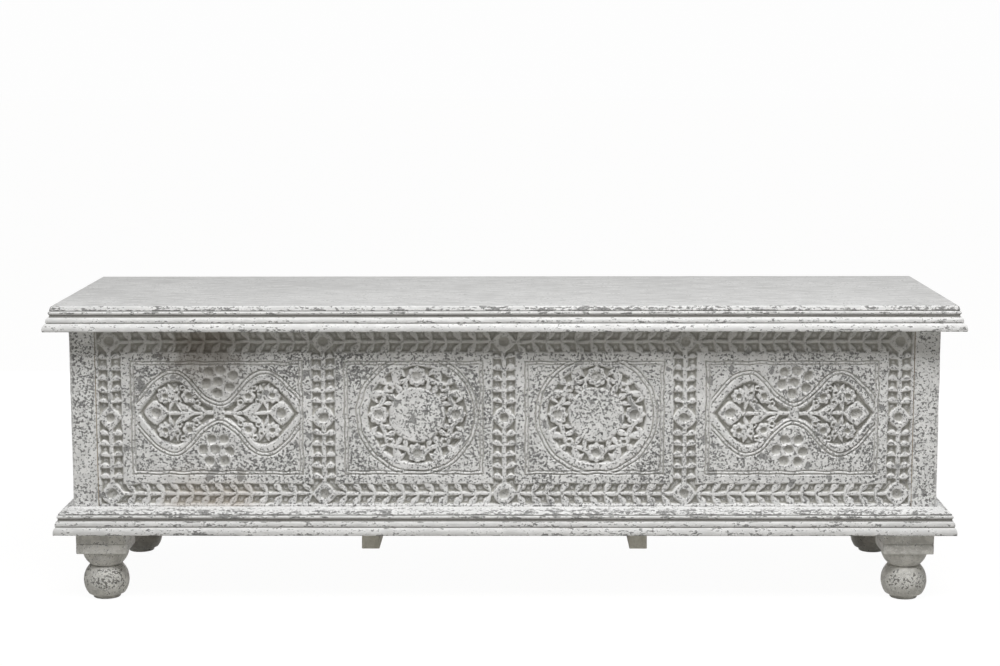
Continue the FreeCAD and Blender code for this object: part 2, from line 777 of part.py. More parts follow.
class Carving:
    """The carved pattern of the front panel, drawn flat and sunk into the board to several depths."""

    LEAD = 1.0
    PETALS = 8
    PETAL_PULL = 0.8
    LEAF_BELLY = 0.45
    # leaves along a stem, as shares of their pitch
    SPRAY_LEAF_LENGTH = 1.3
    SPRAY_LEAF_WIDTH = 0.42
    SPRAY_LEAF_START = 0.12
    SPRAY_TILT = math.radians(46)
    LEAF_GAP = 0.9
    # pairs of leaves round a disc
    PAIR_SPREAD = math.radians(9)
    PAIR_SPLAY = math.radians(14)
    PAIR_LENGTH = 0.8
    PAIR_WIDTH = 0.8
    PAIR_GAP = 4.0
    # the flower at the tip of a lobe, as shares of a border flower, and the start of its stem
    TIP_FLOWER = 0.8
    TIP_DISH = 0.55
    STEM_START = 1.5

    def __init__(self):
        self.plane = float(front_y) - self.LEAD
        self.tools = []

    def at(self, x, z):
        """A point of the drawing plane, just in front of the board."""
        return FreeCAD.Vector(x, self.plane, z)

    def polygon(self, points):
        """A closed straight-sided wire."""
        return Part.makePolygon([self.at(x, z) for x, z in points + points[:1]])

    def frame(self, x, z, half_x, half_z):
        """A rectangle round a middle point."""
        corners = ((-1, -1), (1, -1), (1, 1), (-1, 1))
        return self.polygon([(x + half_x * a, z + half_z * b) for a, b in corners])

    def ring(self, x, z, radius):
        """A circle."""
        return Part.Wire(Part.makeCircle(radius, self.at(x, z), FreeCAD.Vector(0, 1, 0)))

    def rosette(self, x, z, radius):
        """The petalled outline of a dished flower."""
        turns = [2 * math.pi / self.PETALS * step for step in range(self.PETALS)]
        pull = (1.0, self.PETAL_PULL)
        spokes = [radius * pull[step % 2] for step in range(self.PETALS)]
        return self.polygon([(x + r * math.cos(a), z + r * math.sin(a)) for r, a in zip(spokes, turns)])

    def leaf(self, root, angle, length, width):
        """A pointed leaf that grows from its root at an angle."""
        forms = ((0, 0), (self.LEAF_BELLY, 0.5), (1, 0), (self.LEAF_BELLY, -0.5))
        along = (math.cos(angle), math.sin(angle))
        return self.polygon(
            [
                (
                    root[0] + along[0] * a * length - along[1] * b * width,
                    root[1] + along[1] * a * length + along[0] * b * width,
                )
                for a, b in forms
            ]
        )

    def stem(self, start, end):
        """A straight stem between two points."""
        way = math.atan2(end[1] - start[1], end[0] - start[0])
        half = float(dim.stem_width) / 2
        across = (-math.sin(way) * half, math.cos(way) * half)
        ends = ((start, 1), (end, 1), (end, -1), (start, -1))
        return self.polygon([(x + across[0] * hand, z + across[1] * hand) for (x, z), hand in ends])

    def spray(self, start, reach, hand):
        """A stem along the bench with a pair of leaves at each pitch, as separate outlines."""
        pitch = float(dim.leaf_pitch)
        half = float(dim.stem_width) / 2
        shapes = [self.stem(start, (start[0] + hand * reach, start[1]))]
        count = max(int(reach // pitch), 1)
        step = reach / count
        tilt = self.SPRAY_TILT if hand > 0 else math.pi - self.SPRAY_TILT
        length = step * self.SPRAY_LEAF_LENGTH
        width = step * self.SPRAY_LEAF_WIDTH
        for number in range(count):
            root_x = start[0] + hand * step * (number + self.SPRAY_LEAF_START)
            for up in (-1, 1):
                root = (root_x, start[1] + up * (half + self.LEAF_GAP))
                shapes.append(self.leaf(root, up * tilt, length, width))
        return shapes

    def flat(self, outer, holes=()):
        """A flat shape inside an outer line and outside the lines of its holes."""
        return Part.makeFace([outer, *holes], "Part::FaceMakerBullseye")

    def sink(self, shape, depth):
        """Keep a flat shape as a cut of one depth into the board."""
        for face in shape.Faces:
            self.tools.append(face.extrude(FreeCAD.Vector(0, depth + self.LEAD, 0)))

    def dish(self, x, z, radius, sunk=0.0):
        """Hollow a dish of chisel facets from a surface that may be sunk."""
        turns = [2 * math.pi / self.PETALS * (step + 0.5) for step in range(self.PETALS)]
        face_y = float(front_y) + sunk
        rim = [FreeCAD.Vector(x + radius * math.cos(a), face_y, z + radius * math.sin(a)) for a in turns]
        heart = FreeCAD.Vector(x, face_y + float(dim.dish_depth), z)
        faces = [Part.Face(Part.makePolygon(rim + rim[:1]))]
        for one, other in zip(rim, rim[1:] + rim[:1]):
            faces.append(Part.Face(Part.makePolygon([one, other, heart, one])))
        solid = Part.Solid(Part.Shell(faces))
        if solid.Volume < 0:
            solid.reverse()
        self.tools.append(solid)

    def columns(self):
        """The middles of the upright vine borders, from the centre outward to the right."""
        outer = float(post_inside) - float(dim.vine_width) / 2
        inner = outer - float(dim.vine_width) - float(dim.ogee_panel_length)
        return [0.0, inner, outer]

    def panels(self):
        """The two framed panels of the right half, as middle and half length."""
        half = float(dim.vine_width) / 2
        edges = self.columns()
        return [
            ((low + high) / 2, (high - low) / 2 - half)
            for low, high in zip(edges, edges[1:])
        ]

    def make(self):
        """Draw the whole front."""
        low = float(base_top)
        high = float(rim_z)
        border = float(dim.vine_border)
        levels = [low + border / 2, (low + high) / 2, high - border / 2]
        middle = levels[1]
        half_height = (high - low) / 2 - border
        self.borders(levels, half_height)
        for side in (-1, 1):
            centre = middle + float(dim.motif_rise)
            (round_x, round_half), (ogee_x, ogee_half) = self.panels()
            circle = self.ring(round_x * side, centre, float(dim.roundel_line_radius))
            self.panel(round_x * side, middle, round_half, half_height, circle)
            self.roundel(round_x * side, centre)
            self.panel(ogee_x * side, middle, ogee_half, half_height, self.wave(ogee_x * side, centre))
            self.ogee(ogee_x * side, centre)
        return Part.Compound(self.tools)

    def borders(self, levels, half_height):
        """Sink the ground of the vine borders round their leaves and flowers."""
        rim = float(dim.channel_rim)
        flower = float(dim.rosette_radius)
        half_vine = float(dim.vine_width) / 2 - rim
        half_border = float(dim.vine_border) / 2 - rim
        columns = sorted({side * x for x in self.columns() for side in (-1, 1)})
        top = levels[2] + half_border
        bottom = levels[0] - half_border
        end = columns[-1] + half_vine
        raised = [self.frame(x * side, levels[1], half + rim, half_height + rim)
                  for x, half in self.panels() for side in (-1, 1)]
        clear = flower + rim
        for x in columns:
            raised += [self.rosette(x, z, flower) for z in levels]
            for z in levels:
                self.dish(x, z, float(dim.rosette_dish_radius))
            spans = zip(levels, levels[1:])
            raised += [self.stem((x, low + clear), (x, high - clear)) for low, high in spans]
        for z in (levels[0], levels[2]):
            spans = zip(columns, columns[1:])
            raised += [self.stem((left + clear, z), (right - clear, z)) for left, right in spans]
        outer = self.polygon([(-end, bottom), (end, bottom), (end, top), (-end, top)])
        self.sink(self.flat(outer, raised), float(dim.ground_depth))

    def panel(self, x, z, half_x, half_z, raised):
        """An incised frame line, and inside it a field sunk round a raised form."""
        inset = float(dim.panel_margin)
        width = float(dim.line_width)
        outer = self.frame(x, z, half_x - inset, half_z - inset)
        inner = self.frame(x, z, half_x - inset - width, half_z - inset - width)
        self.sink(self.flat(outer, [inner]), float(dim.line_depth))
        inset += float(dim.field_inset)
        field = self.flat(self.frame(x, z, half_x - inset, half_z - inset))
        self.sink(field.cut(self.flat(raised)), float(dim.field_depth))

    def roundel(self, x, z):
        """A raised disc in a sunk ring with four dished flowers and pairs of leaves."""
        disc = float(dim.roundel_disc_radius)
        ring = float(dim.roundel_ring_radius)
        flower = float(dim.rosette_radius)
        mid = (disc + ring) / 2
        raised = []
        for quarter in range(4):
            turn = math.pi / 2 * quarter
            place = (x + mid * math.cos(turn), z + mid * math.sin(turn))
            raised.append(self.rosette(*place, flower))
            self.dish(*place, float(dim.rosette_dish_radius))
            for hand in (-1, 1):
                angle = turn + math.pi / 4 + hand * self.PAIR_SPREAD
                out = disc + self.PAIR_GAP
                root = (x + out * math.cos(angle), z + out * math.sin(angle))
                way = angle + hand * self.PAIR_SPLAY
                length = (ring - disc) * self.PAIR_LENGTH
                raised.append(self.leaf(root, way, length, flower * self.PAIR_WIDTH))
        holes = [self.ring(x, z, disc)] + raised
        self.sink(self.flat(self.ring(x, z, ring), holes), float(dim.recess_depth))

    def wave(self, x, z):
        """The outline of the double loop: two lobes with a waist between them."""
        reach = float(dim.ogee_reach)
        across = float(dim.ogee_peak_across)
        peak = float(dim.ogee_peak_up)
        waist = float(dim.ogee_valley_up)
        drop = (peak - waist) / 2
        swing = (across**2 / 4 + drop**2) / (2 * drop)
        bend = (across / 2, (peak + waist) / 2)
        tip_radius = ((reach - across) ** 2 + peak**2) / (2 * peak)
        run = (
            ((across, peak), bend, (across, peak - swing)),
            (bend, (0, waist), (0, waist + swing)),
            ((across, peak), (reach, 0), (across, peak - tip_radius)),
        )
        quarters = ((1, 1), (-1, 1), (-1, -1), (1, -1))
        edges = [self.arc_between(x, z, hand, up, *arc) for hand, up in quarters for arc in run]
        return Part.Wire(Part.__sortEdges__(edges))

    def arc_between(self, x, z, hand, up, start, end, centre):
        """The short arc between two points about a centre, mirrored into its quarter."""
        first = math.atan2(start[1] - centre[1], start[0] - centre[0])
        last = math.atan2(end[1] - centre[1], end[0] - centre[0])
        radius = math.hypot(start[0] - centre[0], start[1] - centre[1])
        half = (first + last) / 2
        mid = (centre[0] + radius * math.cos(half), centre[1] + radius * math.sin(half))
        points = [self.at(x + hand * a, z + up * b) for a, b in (start, mid, end)]
        return Part.Arc(*points).toShape()

    def lobe(self, x, z, hand):
        """The sunk inside of one lobe: a pointed leaf form of four arcs."""
        across = float(dim.ogee_peak_across)
        top = float(dim.ogee_peak_up) - float(dim.ogee_band)
        tip = float(dim.ogee_reach) - float(dim.ogee_band)
        root = float(dim.ogee_band)
        edges = []
        for up in (1, -1):
            for end in (root, tip):
                radius = ((end - across) ** 2 + top**2) / (2 * top)
                centre = (across, top - radius)
                edges.append(self.arc_between(x, z, hand, up, (across, top), (end, 0), centre))
        return Part.Wire(Part.__sortEdges__(edges))

    def ogee(self, x, z):
        """The sunk lobes of a double loop with their foliage, and dishes over and under its waist."""
        flower = float(dim.rosette_radius) * self.TIP_FLOWER
        root = float(dim.ogee_band)
        tip = float(dim.ogee_reach) - float(dim.ogee_band) - flower * 2
        for hand in (-1, 1):
            raised = [self.rosette(x + hand * tip, z, flower)]
            self.dish(x + hand * tip, z, flower * self.TIP_DISH)
            start = root * self.STEM_START
            raised += self.spray((x + hand * start, z), tip - flower - float(dim.stem_width) - start, hand)
            self.sink(self.flat(self.lobe(x, z, hand), raised), float(dim.recess_depth))
        pitch = float(dim.cluster_pitch)
        for up in (-1, 1):
            middle = z + up * float(dim.cluster_rise)
            places = [(x, middle)]
            for step in range(6):
                turn = math.pi / 3 * step
                places.append((x + pitch * math.cos(turn), middle + pitch * math.sin(turn)))
            for place in places:
                self.dish(*place, float(dim.grape_radius), float(dim.field_depth))


def make_front_panel():
    """The carved front board with end tongues and a floor rebate."""
    mid = front_y + dim.front_panel_thickness / 2
    half = dim.tongue_thickness / 2
    tongue_end = post_inside + dim.tongue_length
    board = block("front_board", (-post_inside, post_inside), (front_y, front_inside), (base_z, rim_z))
    tongue = block("front_tongue", (-tongue_end, tongue_end), (mid - half, mid + half), (base_z, rim_z))
    rebate = block(
        "front_rebate",
        (-post_inside, post_inside),
        (front_inside - dim.floor_rebate, front_inside),
        (base_z, floor_top),
    )
    carving = doc.addObject("Part::Feature", "front_carving")
    carving.Shape = Carving().make()
    plain = cut("front_plain", fuse("front_blank", [board, tongue]), [rebate])
    name_piece(cut("front_panel", plain, [carving]), "front_panel")


def write_pieces():
    """Check every feature and write each sub-part to its own file."""
    doc.recompute()
    failed = [thing.Name for thing in doc.Objects if {"Invalid", "Error"} & set(thing.State)]
    for piece in pieces:
        if piece.Shape.isNull() or not piece.Shape.isValid() or not piece.Shape.Solids:
            failed.append(piece.Label)
    if failed:
        raise RuntimeError(f"pieces that did not build: {failed}")
    os.makedirs("parts", exist_ok=True)
    for piece in pieces:
        piece.Shape.exportStep(os.path.join("parts", f"{piece.Label}.step"))


make_front_panel()
make_back_panel()
make_end_panels()
make_posts()
make_floor()
make_base_mouldings()
make_feet()
make_lid_boards()
make_lid_frame()
make_hinges()
write_pieces()
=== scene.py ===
"""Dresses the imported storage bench: carved front, mouldings, turned feet, worn paint and studio.

Lengths are millimetres until a mesh is made. The frame is the part's own, in metres.
"""

import logging
import math
from collections.abc import Sequence
from dataclasses import dataclass, field, replace
from enum import Enum
from functools import cache

import bmesh
import bpy
import numpy as np
from mathutils import Matrix, Vector

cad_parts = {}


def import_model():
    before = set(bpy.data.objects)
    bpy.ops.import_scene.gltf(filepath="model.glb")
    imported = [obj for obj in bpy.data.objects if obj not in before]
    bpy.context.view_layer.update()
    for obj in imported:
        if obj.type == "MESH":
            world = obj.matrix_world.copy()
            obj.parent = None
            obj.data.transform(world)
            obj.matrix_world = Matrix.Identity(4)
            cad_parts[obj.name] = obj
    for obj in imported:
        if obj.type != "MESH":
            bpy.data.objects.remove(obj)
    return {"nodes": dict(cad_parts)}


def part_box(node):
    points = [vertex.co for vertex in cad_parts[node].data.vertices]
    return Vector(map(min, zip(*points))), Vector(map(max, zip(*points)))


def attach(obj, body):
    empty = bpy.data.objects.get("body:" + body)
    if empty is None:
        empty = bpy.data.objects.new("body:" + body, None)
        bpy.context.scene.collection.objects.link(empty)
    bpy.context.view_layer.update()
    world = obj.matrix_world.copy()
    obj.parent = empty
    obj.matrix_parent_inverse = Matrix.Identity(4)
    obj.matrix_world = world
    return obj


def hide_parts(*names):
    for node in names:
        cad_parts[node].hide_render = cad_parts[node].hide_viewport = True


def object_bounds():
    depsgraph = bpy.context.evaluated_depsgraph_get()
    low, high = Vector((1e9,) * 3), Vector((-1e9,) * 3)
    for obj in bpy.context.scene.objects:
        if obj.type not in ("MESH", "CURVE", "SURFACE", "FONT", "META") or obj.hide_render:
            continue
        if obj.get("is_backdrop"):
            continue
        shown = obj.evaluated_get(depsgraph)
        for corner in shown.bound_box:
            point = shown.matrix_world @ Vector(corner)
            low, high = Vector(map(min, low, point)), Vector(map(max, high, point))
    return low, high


LOG = logging.getLogger("storage_bench")
MM = 0.001
Array = np.ndarray
Pair = tuple[float, float]
Triple = tuple[float, float, float]
Colour = Triple
Part = tuple[slice, slice]
Face = tuple[int, ...]
Material = bpy.types.Material
Node = bpy.types.Node
Key = str | int
Inputs = dict[Key, object]
WHOLE = (slice(None), slice(None))


class Slot(Enum):
    """Material slots of the part's record."""

    PAINT = "paint"
    LID = "lid_paint"
    CARVED = "carved_paint"
    WOOD = "bare_wood"
    IRON = "iron"


class Body(Enum):
    """Bodies that a piece can ride on."""

    CARCASS = "carcass"
    LID = "lid"


class Grain(Enum):
    """The way that streaks of wear run, as a shrink of the texture on each axis."""

    ALONG = (0.3, 1.0, 1.0)
    LONG = (0.13, 1.0, 1.0)
    ACROSS = (1.0, 0.3, 1.0)
    UPRIGHT = (1.0, 1.0, 0.25)
    ROUND = (1.0, 1.0, 1.6)


class Run(Enum):
    """Which stretch of the bench a moulding covers."""

    FRONT = "front"
    LEFT = "left"
    RIGHT = "right"


@dataclass(frozen=True)
class Bench:
    """Main planes of the bench.

    The carcass ends at plus and minus body_end; heights are measured from the floor.
    """

    body_end: float = 690.0
    front: float = -180.0
    back: float = 200.0
    lid_back: float = 215.0
    post: float = 41.0
    base: float = 112.0
    base_top: float = 154.0
    rim: float = 440.0
    board: float = 465.0
    seat: float = 480.0
    floor_top: float = 126.0
    front_thickness: float = 26.0
    end_thickness: float = 20.0


BENCH = Bench()


def waves(points: Array, wavelength: float, seed: int, count: int = 7) -> Array:
    """Smooth, repeatable unevenness: plane waves in seeded directions.

    Args:
        points: Places, with their coordinates on the last axis.
        wavelength: Usual length of a wave.
        seed: Seed of the directions.
        count: How many waves are added.

    Returns:
        One value per place, mostly between -1 and 1.
    """
    rng = np.random.default_rng(seed)
    total = np.zeros(points.shape[:-1])
    for _ in range(count):
        way = rng.normal(size=points.shape[-1])
        way *= 2 * math.pi / (wavelength * rng.uniform(0.7, 1.4) * np.linalg.norm(way))
        total += np.sin(points @ way + rng.uniform(0, 2 * math.pi))
    return total / math.sqrt(count)


def quads(rows: int, wide: int, closed: bool = True) -> list[Face]:
    """Faces between neighbouring rows of a grid of vertices.

    Args:
        rows: Number of rows.
        wide: Vertices in a row.
        closed: Whether each row runs round to its start.

    Returns:
        Faces with four corners, row by row.
    """
    first = np.arange(wide if closed else wide - 1)
    after = (first + 1) % wide
    row = np.stack([first, after, after + wide, first + wide], -1)
    faces = row + np.arange(rows - 1)[:, None, None] * wide
    return [tuple(face) for face in faces.reshape(-1, 4).tolist()]


@dataclass
class Shape:
    """A closed mesh with how exposed and how sheltered each vertex lies.

    Attributes:
        vertices: Places in millimetres.
        faces: Vertex numbers of each face.
        edge: 1 on an arris, 0 on open surface.
        hollow: 1 in a groove or pocket, 0 on open surface, and raised on the carving under the lid; the paint
            is darkened there by dirt and painted shade.
        finish: Number of the material on each face that doesn't show the first one.
        worn: 1 where the paint is most worn, 0 elsewhere.
    """

    vertices: Array
    faces: list[Face]
    edge: Array
    hollow: Array
    finish: dict[int, int] = field(default_factory=dict)
    worn: Array | None = None

    def middles(self) -> Array:
        """Middle of each face."""
        return np.array([self.vertices[list(face)].mean(0) for face in self.faces])

    def bare(self, chosen: Array) -> None:
        """Give the chosen faces the second finish."""
        self.finish = dict.fromkeys(np.flatnonzero(chosen).tolist(), 1)

    def joined(self, other: "Shape") -> "Shape":
        """Put two shapes into one mesh.

        Args:
            other: The shape that is added.

        Returns:
            A shape with the vertices and faces of both.
        """
        shift = len(self.vertices)
        moved = [tuple(number + shift for number in face) for face in other.faces]
        worn = [np.zeros(len(part.edge)) if part.worn is None else part.worn for part in (self, other)]
        return Shape(
            np.vstack([self.vertices, other.vertices]),
            self.faces + moved,
            np.concatenate([self.edge, other.edge]),
            np.concatenate([self.hollow, other.hollow]),
            self.finish | {number + len(self.faces): kind for number, kind in other.finish.items()},
            np.concatenate(worn),
        )


@dataclass
class Joinery:
    """Turns shapes into Blender objects that ride on the frame.

    Attributes:
        nodes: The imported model's objects by name, once the frame is loaded.
    """

    SHARP = math.radians(38)

    nodes: dict[str, bpy.types.Object] = field(default_factory=dict)

    def place(
        self,
        name: str,
        shape: Shape,
        nodes: Sequence[str],
        body: Body,
        slot: Slot,
        materials: Sequence[Material],
    ) -> None:
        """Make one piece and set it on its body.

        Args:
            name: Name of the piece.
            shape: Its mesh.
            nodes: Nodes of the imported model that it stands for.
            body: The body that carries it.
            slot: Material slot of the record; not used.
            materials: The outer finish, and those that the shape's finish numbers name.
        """
        mesh = bpy.data.meshes.new(name)
        mesh.from_pydata((shape.vertices * MM).tolist(), [], shape.faces)
        worn = np.zeros(len(shape.edge)) if shape.worn is None else shape.worn
        for label, values in (("edge", shape.edge), ("hollow", shape.hollow), ("worn", worn)):
            layer = mesh.attributes.new(label, "FLOAT", "POINT")
            layer.data.foreach_set("value", np.clip(values, 0, 1).astype(np.float32))
        for material in materials:
            mesh.materials.append(material)
        kinds = [shape.finish.get(number, 0) for number in range(len(shape.faces))]
        mesh.polygons.foreach_set("material_index", kinds)
        self.orient(mesh)
        piece = bpy.data.objects.new(name, mesh)
        bpy.context.scene.collection.objects.link(piece)
        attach(piece, body.value)
        if nodes:
            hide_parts(*nodes)
        LOG.info("%s: %d faces on %s", name, len(mesh.polygons), body.value)

    def orient(self, mesh: bpy.types.Mesh) -> None:
        """Drop faces without area, turn the others outward and shade smooth except over sharp arrises.

        Args:
            mesh: The mesh, changed in place.
        """
        work = bmesh.new()
        work.from_mesh(mesh)
        bmesh.ops.dissolve_degenerate(work, dist=1e-6, edges=work.edges)
        bmesh.ops.recalc_face_normals(work, faces=work.faces)
        for face in work.faces:
            face.smooth = True
        for line in work.edges:
            if line.is_manifold and line.calc_face_angle(0.0) > self.SHARP:
                line.smooth = False
        work.to_mesh(mesh)
        work.free()

    def dress(self, name: str, material: Material, width: float = 0.8) -> None:
        """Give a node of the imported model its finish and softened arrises.

        Args:
            name: The node.
            material: Its finish.
            width: Width of the softened arris in millimetres, or 0 for none.
        """
        node = self.nodes[name]
        for holder in node.material_slots:
            holder.link = "OBJECT"
            holder.material = material
        if width:
            soft = node.modifiers.new("worn_arris", "BEVEL")
            soft.width = width * MM
            soft.segments = 2
            soft.limit_method = "ANGLE"
            soft.angle_limit = self.SHARP
        LOG.info("%s: packed model's own shape", name)


JOINERY = Joinery()


@dataclass
class Section:
    """A section of worked wood.

    Attributes:
        points: Points (out, up), anticlockwise where the section is closed.
        closed: Whether the last point joins the first.
    """

    points: list[Pair]
    closed: bool = True

    BLUNT = math.radians(32)
    SHARP = math.radians(70)

    @staticmethod
    def arc(start: Pair, end: Pair, radius: float, count: int = 9) -> list[Pair]:
        """Points of an arc that bulges to the right of the way from start to end.

        Args:
            start: First point, which is included.
            end: Last point, which is left out.
            radius: Radius of the arc.
            count: Number of steps.

        Returns:
            The points as pairs.
        """
        first = np.array(start)
        chord = np.array(end) - first
        half = np.linalg.norm(chord) / 2
        left = np.array([-chord[1], chord[0]]) / (2 * half)
        centre = first + chord / 2 + left * math.sqrt(max(radius**2 - half**2, 0.0))
        a, b = (math.atan2(*(point - centre)[::-1]) for point in (first, first + chord))
        b = b if b > a else b + 2 * math.pi
        turns = np.linspace(a, b, count, endpoint=False)
        return [(centre[0] + radius * math.cos(turn), centre[1] + radius * math.sin(turn)) for turn in turns]

    def fine(self, step: float = 1.0) -> Array:
        """Points close together, with the sharp corners softened as by wear and paint.

        Args:
            step: Largest distance between neighbours.

        Returns:
            The points, one row each.
        """
        knots = np.array(self.points + (self.points[:1] if self.closed else []))
        run: list[Array] = []
        for a, b in zip(knots, knots[1:]):
            count = max(math.ceil(np.linalg.norm(b - a) / step), 1)
            run += [a + (b - a) * share / count for share in range(count)]
        points = np.array(run if self.closed else run + [knots[-1]])
        smooth = (np.roll(points, 1, 0) + np.roll(points, -1, 0)) / 4 + points / 2
        if not self.closed:
            smooth[[0, -1]] = points[[0, -1]]
        return smooth

    @staticmethod
    def exposure(points: Array, closed: bool = True, reach: int = 1) -> tuple[Array, Array]:
        """How exposed and how sheltered each point of a fine run lies, from its turning.

        Args:
            points: A fine run.
            closed: Whether the run closes on itself.
            reach: How many neighbours count on each side.

        Returns:
            Edge and hollow, from 0 to 1.
        """
        way = np.roll(points, -1, 0) - points
        angle = np.arctan2(way[:, 1], way[:, 0])
        turn = (angle - np.roll(angle, 1) + math.pi) % (2 * math.pi) - math.pi
        if not closed:
            turn[[0, -1]] = 0.0
        total = sum(np.roll(turn, shift) for shift in range(-reach, reach + 1))
        sharp = (np.abs(total) - Section.BLUNT) / (Section.SHARP - Section.BLUNT)
        return np.where(total > 0, sharp, 0).clip(0, 1), np.where(total < 0, sharp, 0).clip(0, 1)

    @staticmethod
    def crests(points: Array, reach: int = 3) -> Array:
        """How near each point of a closed run lies to a line that stands out most.

        Args:
            points: A fine run.
            reach: How many neighbours a crest must pass.

        Returns:
            1 on a crest, falling to 0 beside it.
        """
        out = points[:, 0]
        shifts = [shift for shift in range(-reach, reach + 1) if shift]
        top = np.logical_and.reduce([out >= np.roll(out, shift) for shift in shifts]) & (out > 0.5)
        fall = [np.roll(top, shift) * (1 - abs(shift) / reach) for shift in range(1 - reach, reach)]
        return np.max(fall, axis=0)


@dataclass
class RingSolid:
    """A solid built of level rings round an upright axis: boards, posts and blocks.

    Attributes:
        low: Lowest x and y of the base rectangle.
        high: Highest x and y of the base rectangle.
        section: Rows (out, up) from the bottom to the top, out of the rectangle's sides.
        edge: Exposure of each row.
        hollow: Shelter of each row.
        moulded: Which sides (left, right, front, back) follow the section.
        corner: Radius of the upright arrises.
        step: Largest distance between vertices along a side.
        uneven: Height of the hand-planed waves.
    """

    low: Pair
    high: Pair
    section: Array
    edge: Array
    hollow: Array
    moulded: tuple[bool, bool, bool, bool] = (True, True, True, True)
    corner: float = 1.2
    step: float = 16.0
    uneven: float = 0.25

    # Out, rise and exposure of the rows over a softened arris
    ARRIS = ((-6.0, 0.0, 0.0), (-1.2, 0.0, 0.8), (-0.35, 0.35, 1.0), (0.0, 1.2, 0.8), (0.0, 3.0, 0.2))
    # Places beside an upright arris, and where the even spacing starts
    NEAR = (0.0, 2.0, 5.0)
    CLEAR = 9.0
    # Points round an upright arris
    TURNS = 4

    @staticmethod
    def plain(low: Sequence[float], high: Sequence[float], step: float = 16.0, **more: object) -> "RingSolid":
        """A plain board or block with softened arrises.

        Args:
            low: Lowest corner.
            high: Highest corner.
            step: Largest distance between vertices.
            more: Other fields of the solid.

        Returns:
            The solid.
        """
        bottom, top = low[2], high[2]
        inset = RingSolid.NEAR[-1]
        count = max(int((top - bottom - 2 * inset) // step), 1)
        middle = np.linspace(bottom + inset, top - inset, count + 1)
        foot = [(out, bottom + rise) for out, rise, _ in RingSolid.ARRIS]
        head = [(out, top - rise) for out, rise, _ in RingSolid.ARRIS[::-1]]
        rows = np.array(foot + [(0.0, height) for height in middle] + head)
        sharp = [edge for _, _, edge in RingSolid.ARRIS]
        edge = np.array(sharp + [0.0] * len(middle) + sharp[::-1])
        return RingSolid(tuple(low[:2]), tuple(high[:2]), rows, edge, np.zeros(len(rows)), step=step, **more)

    def span(self, axis: int) -> float:
        """Length of the base rectangle along x or y."""
        return self.high[axis] - self.low[axis]

    def stations(self, length: float) -> Array:
        """Places along a side, closer near its ends.

        Args:
            length: Length of the side.

        Returns:
            Shares of the length.
        """
        count = max(int(length // self.step), 1)
        near, clear = np.array(self.NEAR) / length, self.CLEAR / length
        return np.concatenate([near, np.linspace(clear, 1 - clear, count), 1 - near[::-1]])

    def flats(self) -> Array:
        """How far each row lies out of the plain sides.

        Returns:
            One value per row, inward only on the flat bottom and top.
        """
        out, up = self.section.T
        inset = np.zeros(len(out))
        for flat in (up < up[0] + 0.02, up > up[-1] - 0.02):
            inset[flat] = out[flat] - out[flat].max()
        return inset

    def ring(self, out: float, plain: float) -> tuple[Array, Array, Array]:
        """One level ring.

        Args:
            out: How far it stands out of the moulded sides.
            plain: How far it stands out of the plain sides.

        Returns:
            Places (x, y), outward directions, and exposure of the corners.
        """
        left, right, front, back = (out if side else plain for side in self.moulded)
        x0, x1 = self.low[0] - left, self.high[0] + right
        y0, y1 = self.low[1] - front, self.high[1] + back
        r = self.corner
        middles = np.array([(x0 + r, y0 + r), (x1 - r, y0 + r), (x1 - r, y1 - r), (x0 + r, y1 - r)])
        places, ways, sharp = [], [], []
        for side, start in enumerate((180, 270, 0, 90)):
            centre, run = middles[side], middles[(side + 1) % 4] - middles[side]
            for turn in np.radians(np.linspace(start, start + 90, self.TURNS)):
                way = np.array([math.cos(turn), math.sin(turn)])
                places.append(centre + way * r)
                ways.append(way)
                sharp.append(1.0)
            span = self.span(side % 2)
            for share in self.stations(span)[1:-1]:
                places.append(centre + way * r + run * share)
                ways.append(way)
                near = min(share, 1 - share) * span
                sharp.append(max(0.0, 1 - near / self.NEAR[-1]))
        return np.array(places), np.array(ways), np.array(sharp)

    def cap(self) -> list[Face]:
        """Close a ring.

        Returns:
            Strips from the ring's front to its back, and a face at each end.
        """
        turn = self.TURNS
        wide, deep = (turn + len(self.stations(self.span(axis))) - 2 for axis in (0, 1))
        front = range(turn - 1, wide + 1)
        back = range(wide + deep + turn - 1, 2 * wide + deep + 1)[::-1]
        strips = [(front[n], front[n + 1], back[n + 1], back[n]) for n in range(len(front) - 1)]
        right = tuple(range(wide, wide + deep + turn))
        left = tuple(range(2 * wide + deep, 2 * (wide + deep))) + tuple(range(turn))
        return strips + [right, left]

    def shape(self, seed: int = 1) -> Shape:
        """Stack the rings and close both ends.

        Args:
            seed: Seed of the unevenness.

        Returns:
            The closed shape.
        """
        rings, edges = [], []
        for (out, up), plain, edge in zip(self.section, self.flats(), self.edge):
            places, ways, sharp = self.ring(out, plain)
            level = np.column_stack([places, np.full(len(places), up)])
            lift = waves(level, 70, seed) * self.uneven
            level[:, :2] += ways * (lift - self.uneven)[:, None]
            rings.append(level)
            edges.append(np.maximum(edge, sharp))
        count = len(rings[0])
        last = count * (len(rings) - 1)
        faces = quads(len(rings), count) + [face[::-1] for face in self.cap()]
        faces += [tuple(last + number for number in face) for face in self.cap()]
        edges[0] = edges[-1] = np.zeros(count)
        return Shape(np.vstack(rings), faces, np.concatenate(edges), np.repeat(self.hollow, count))


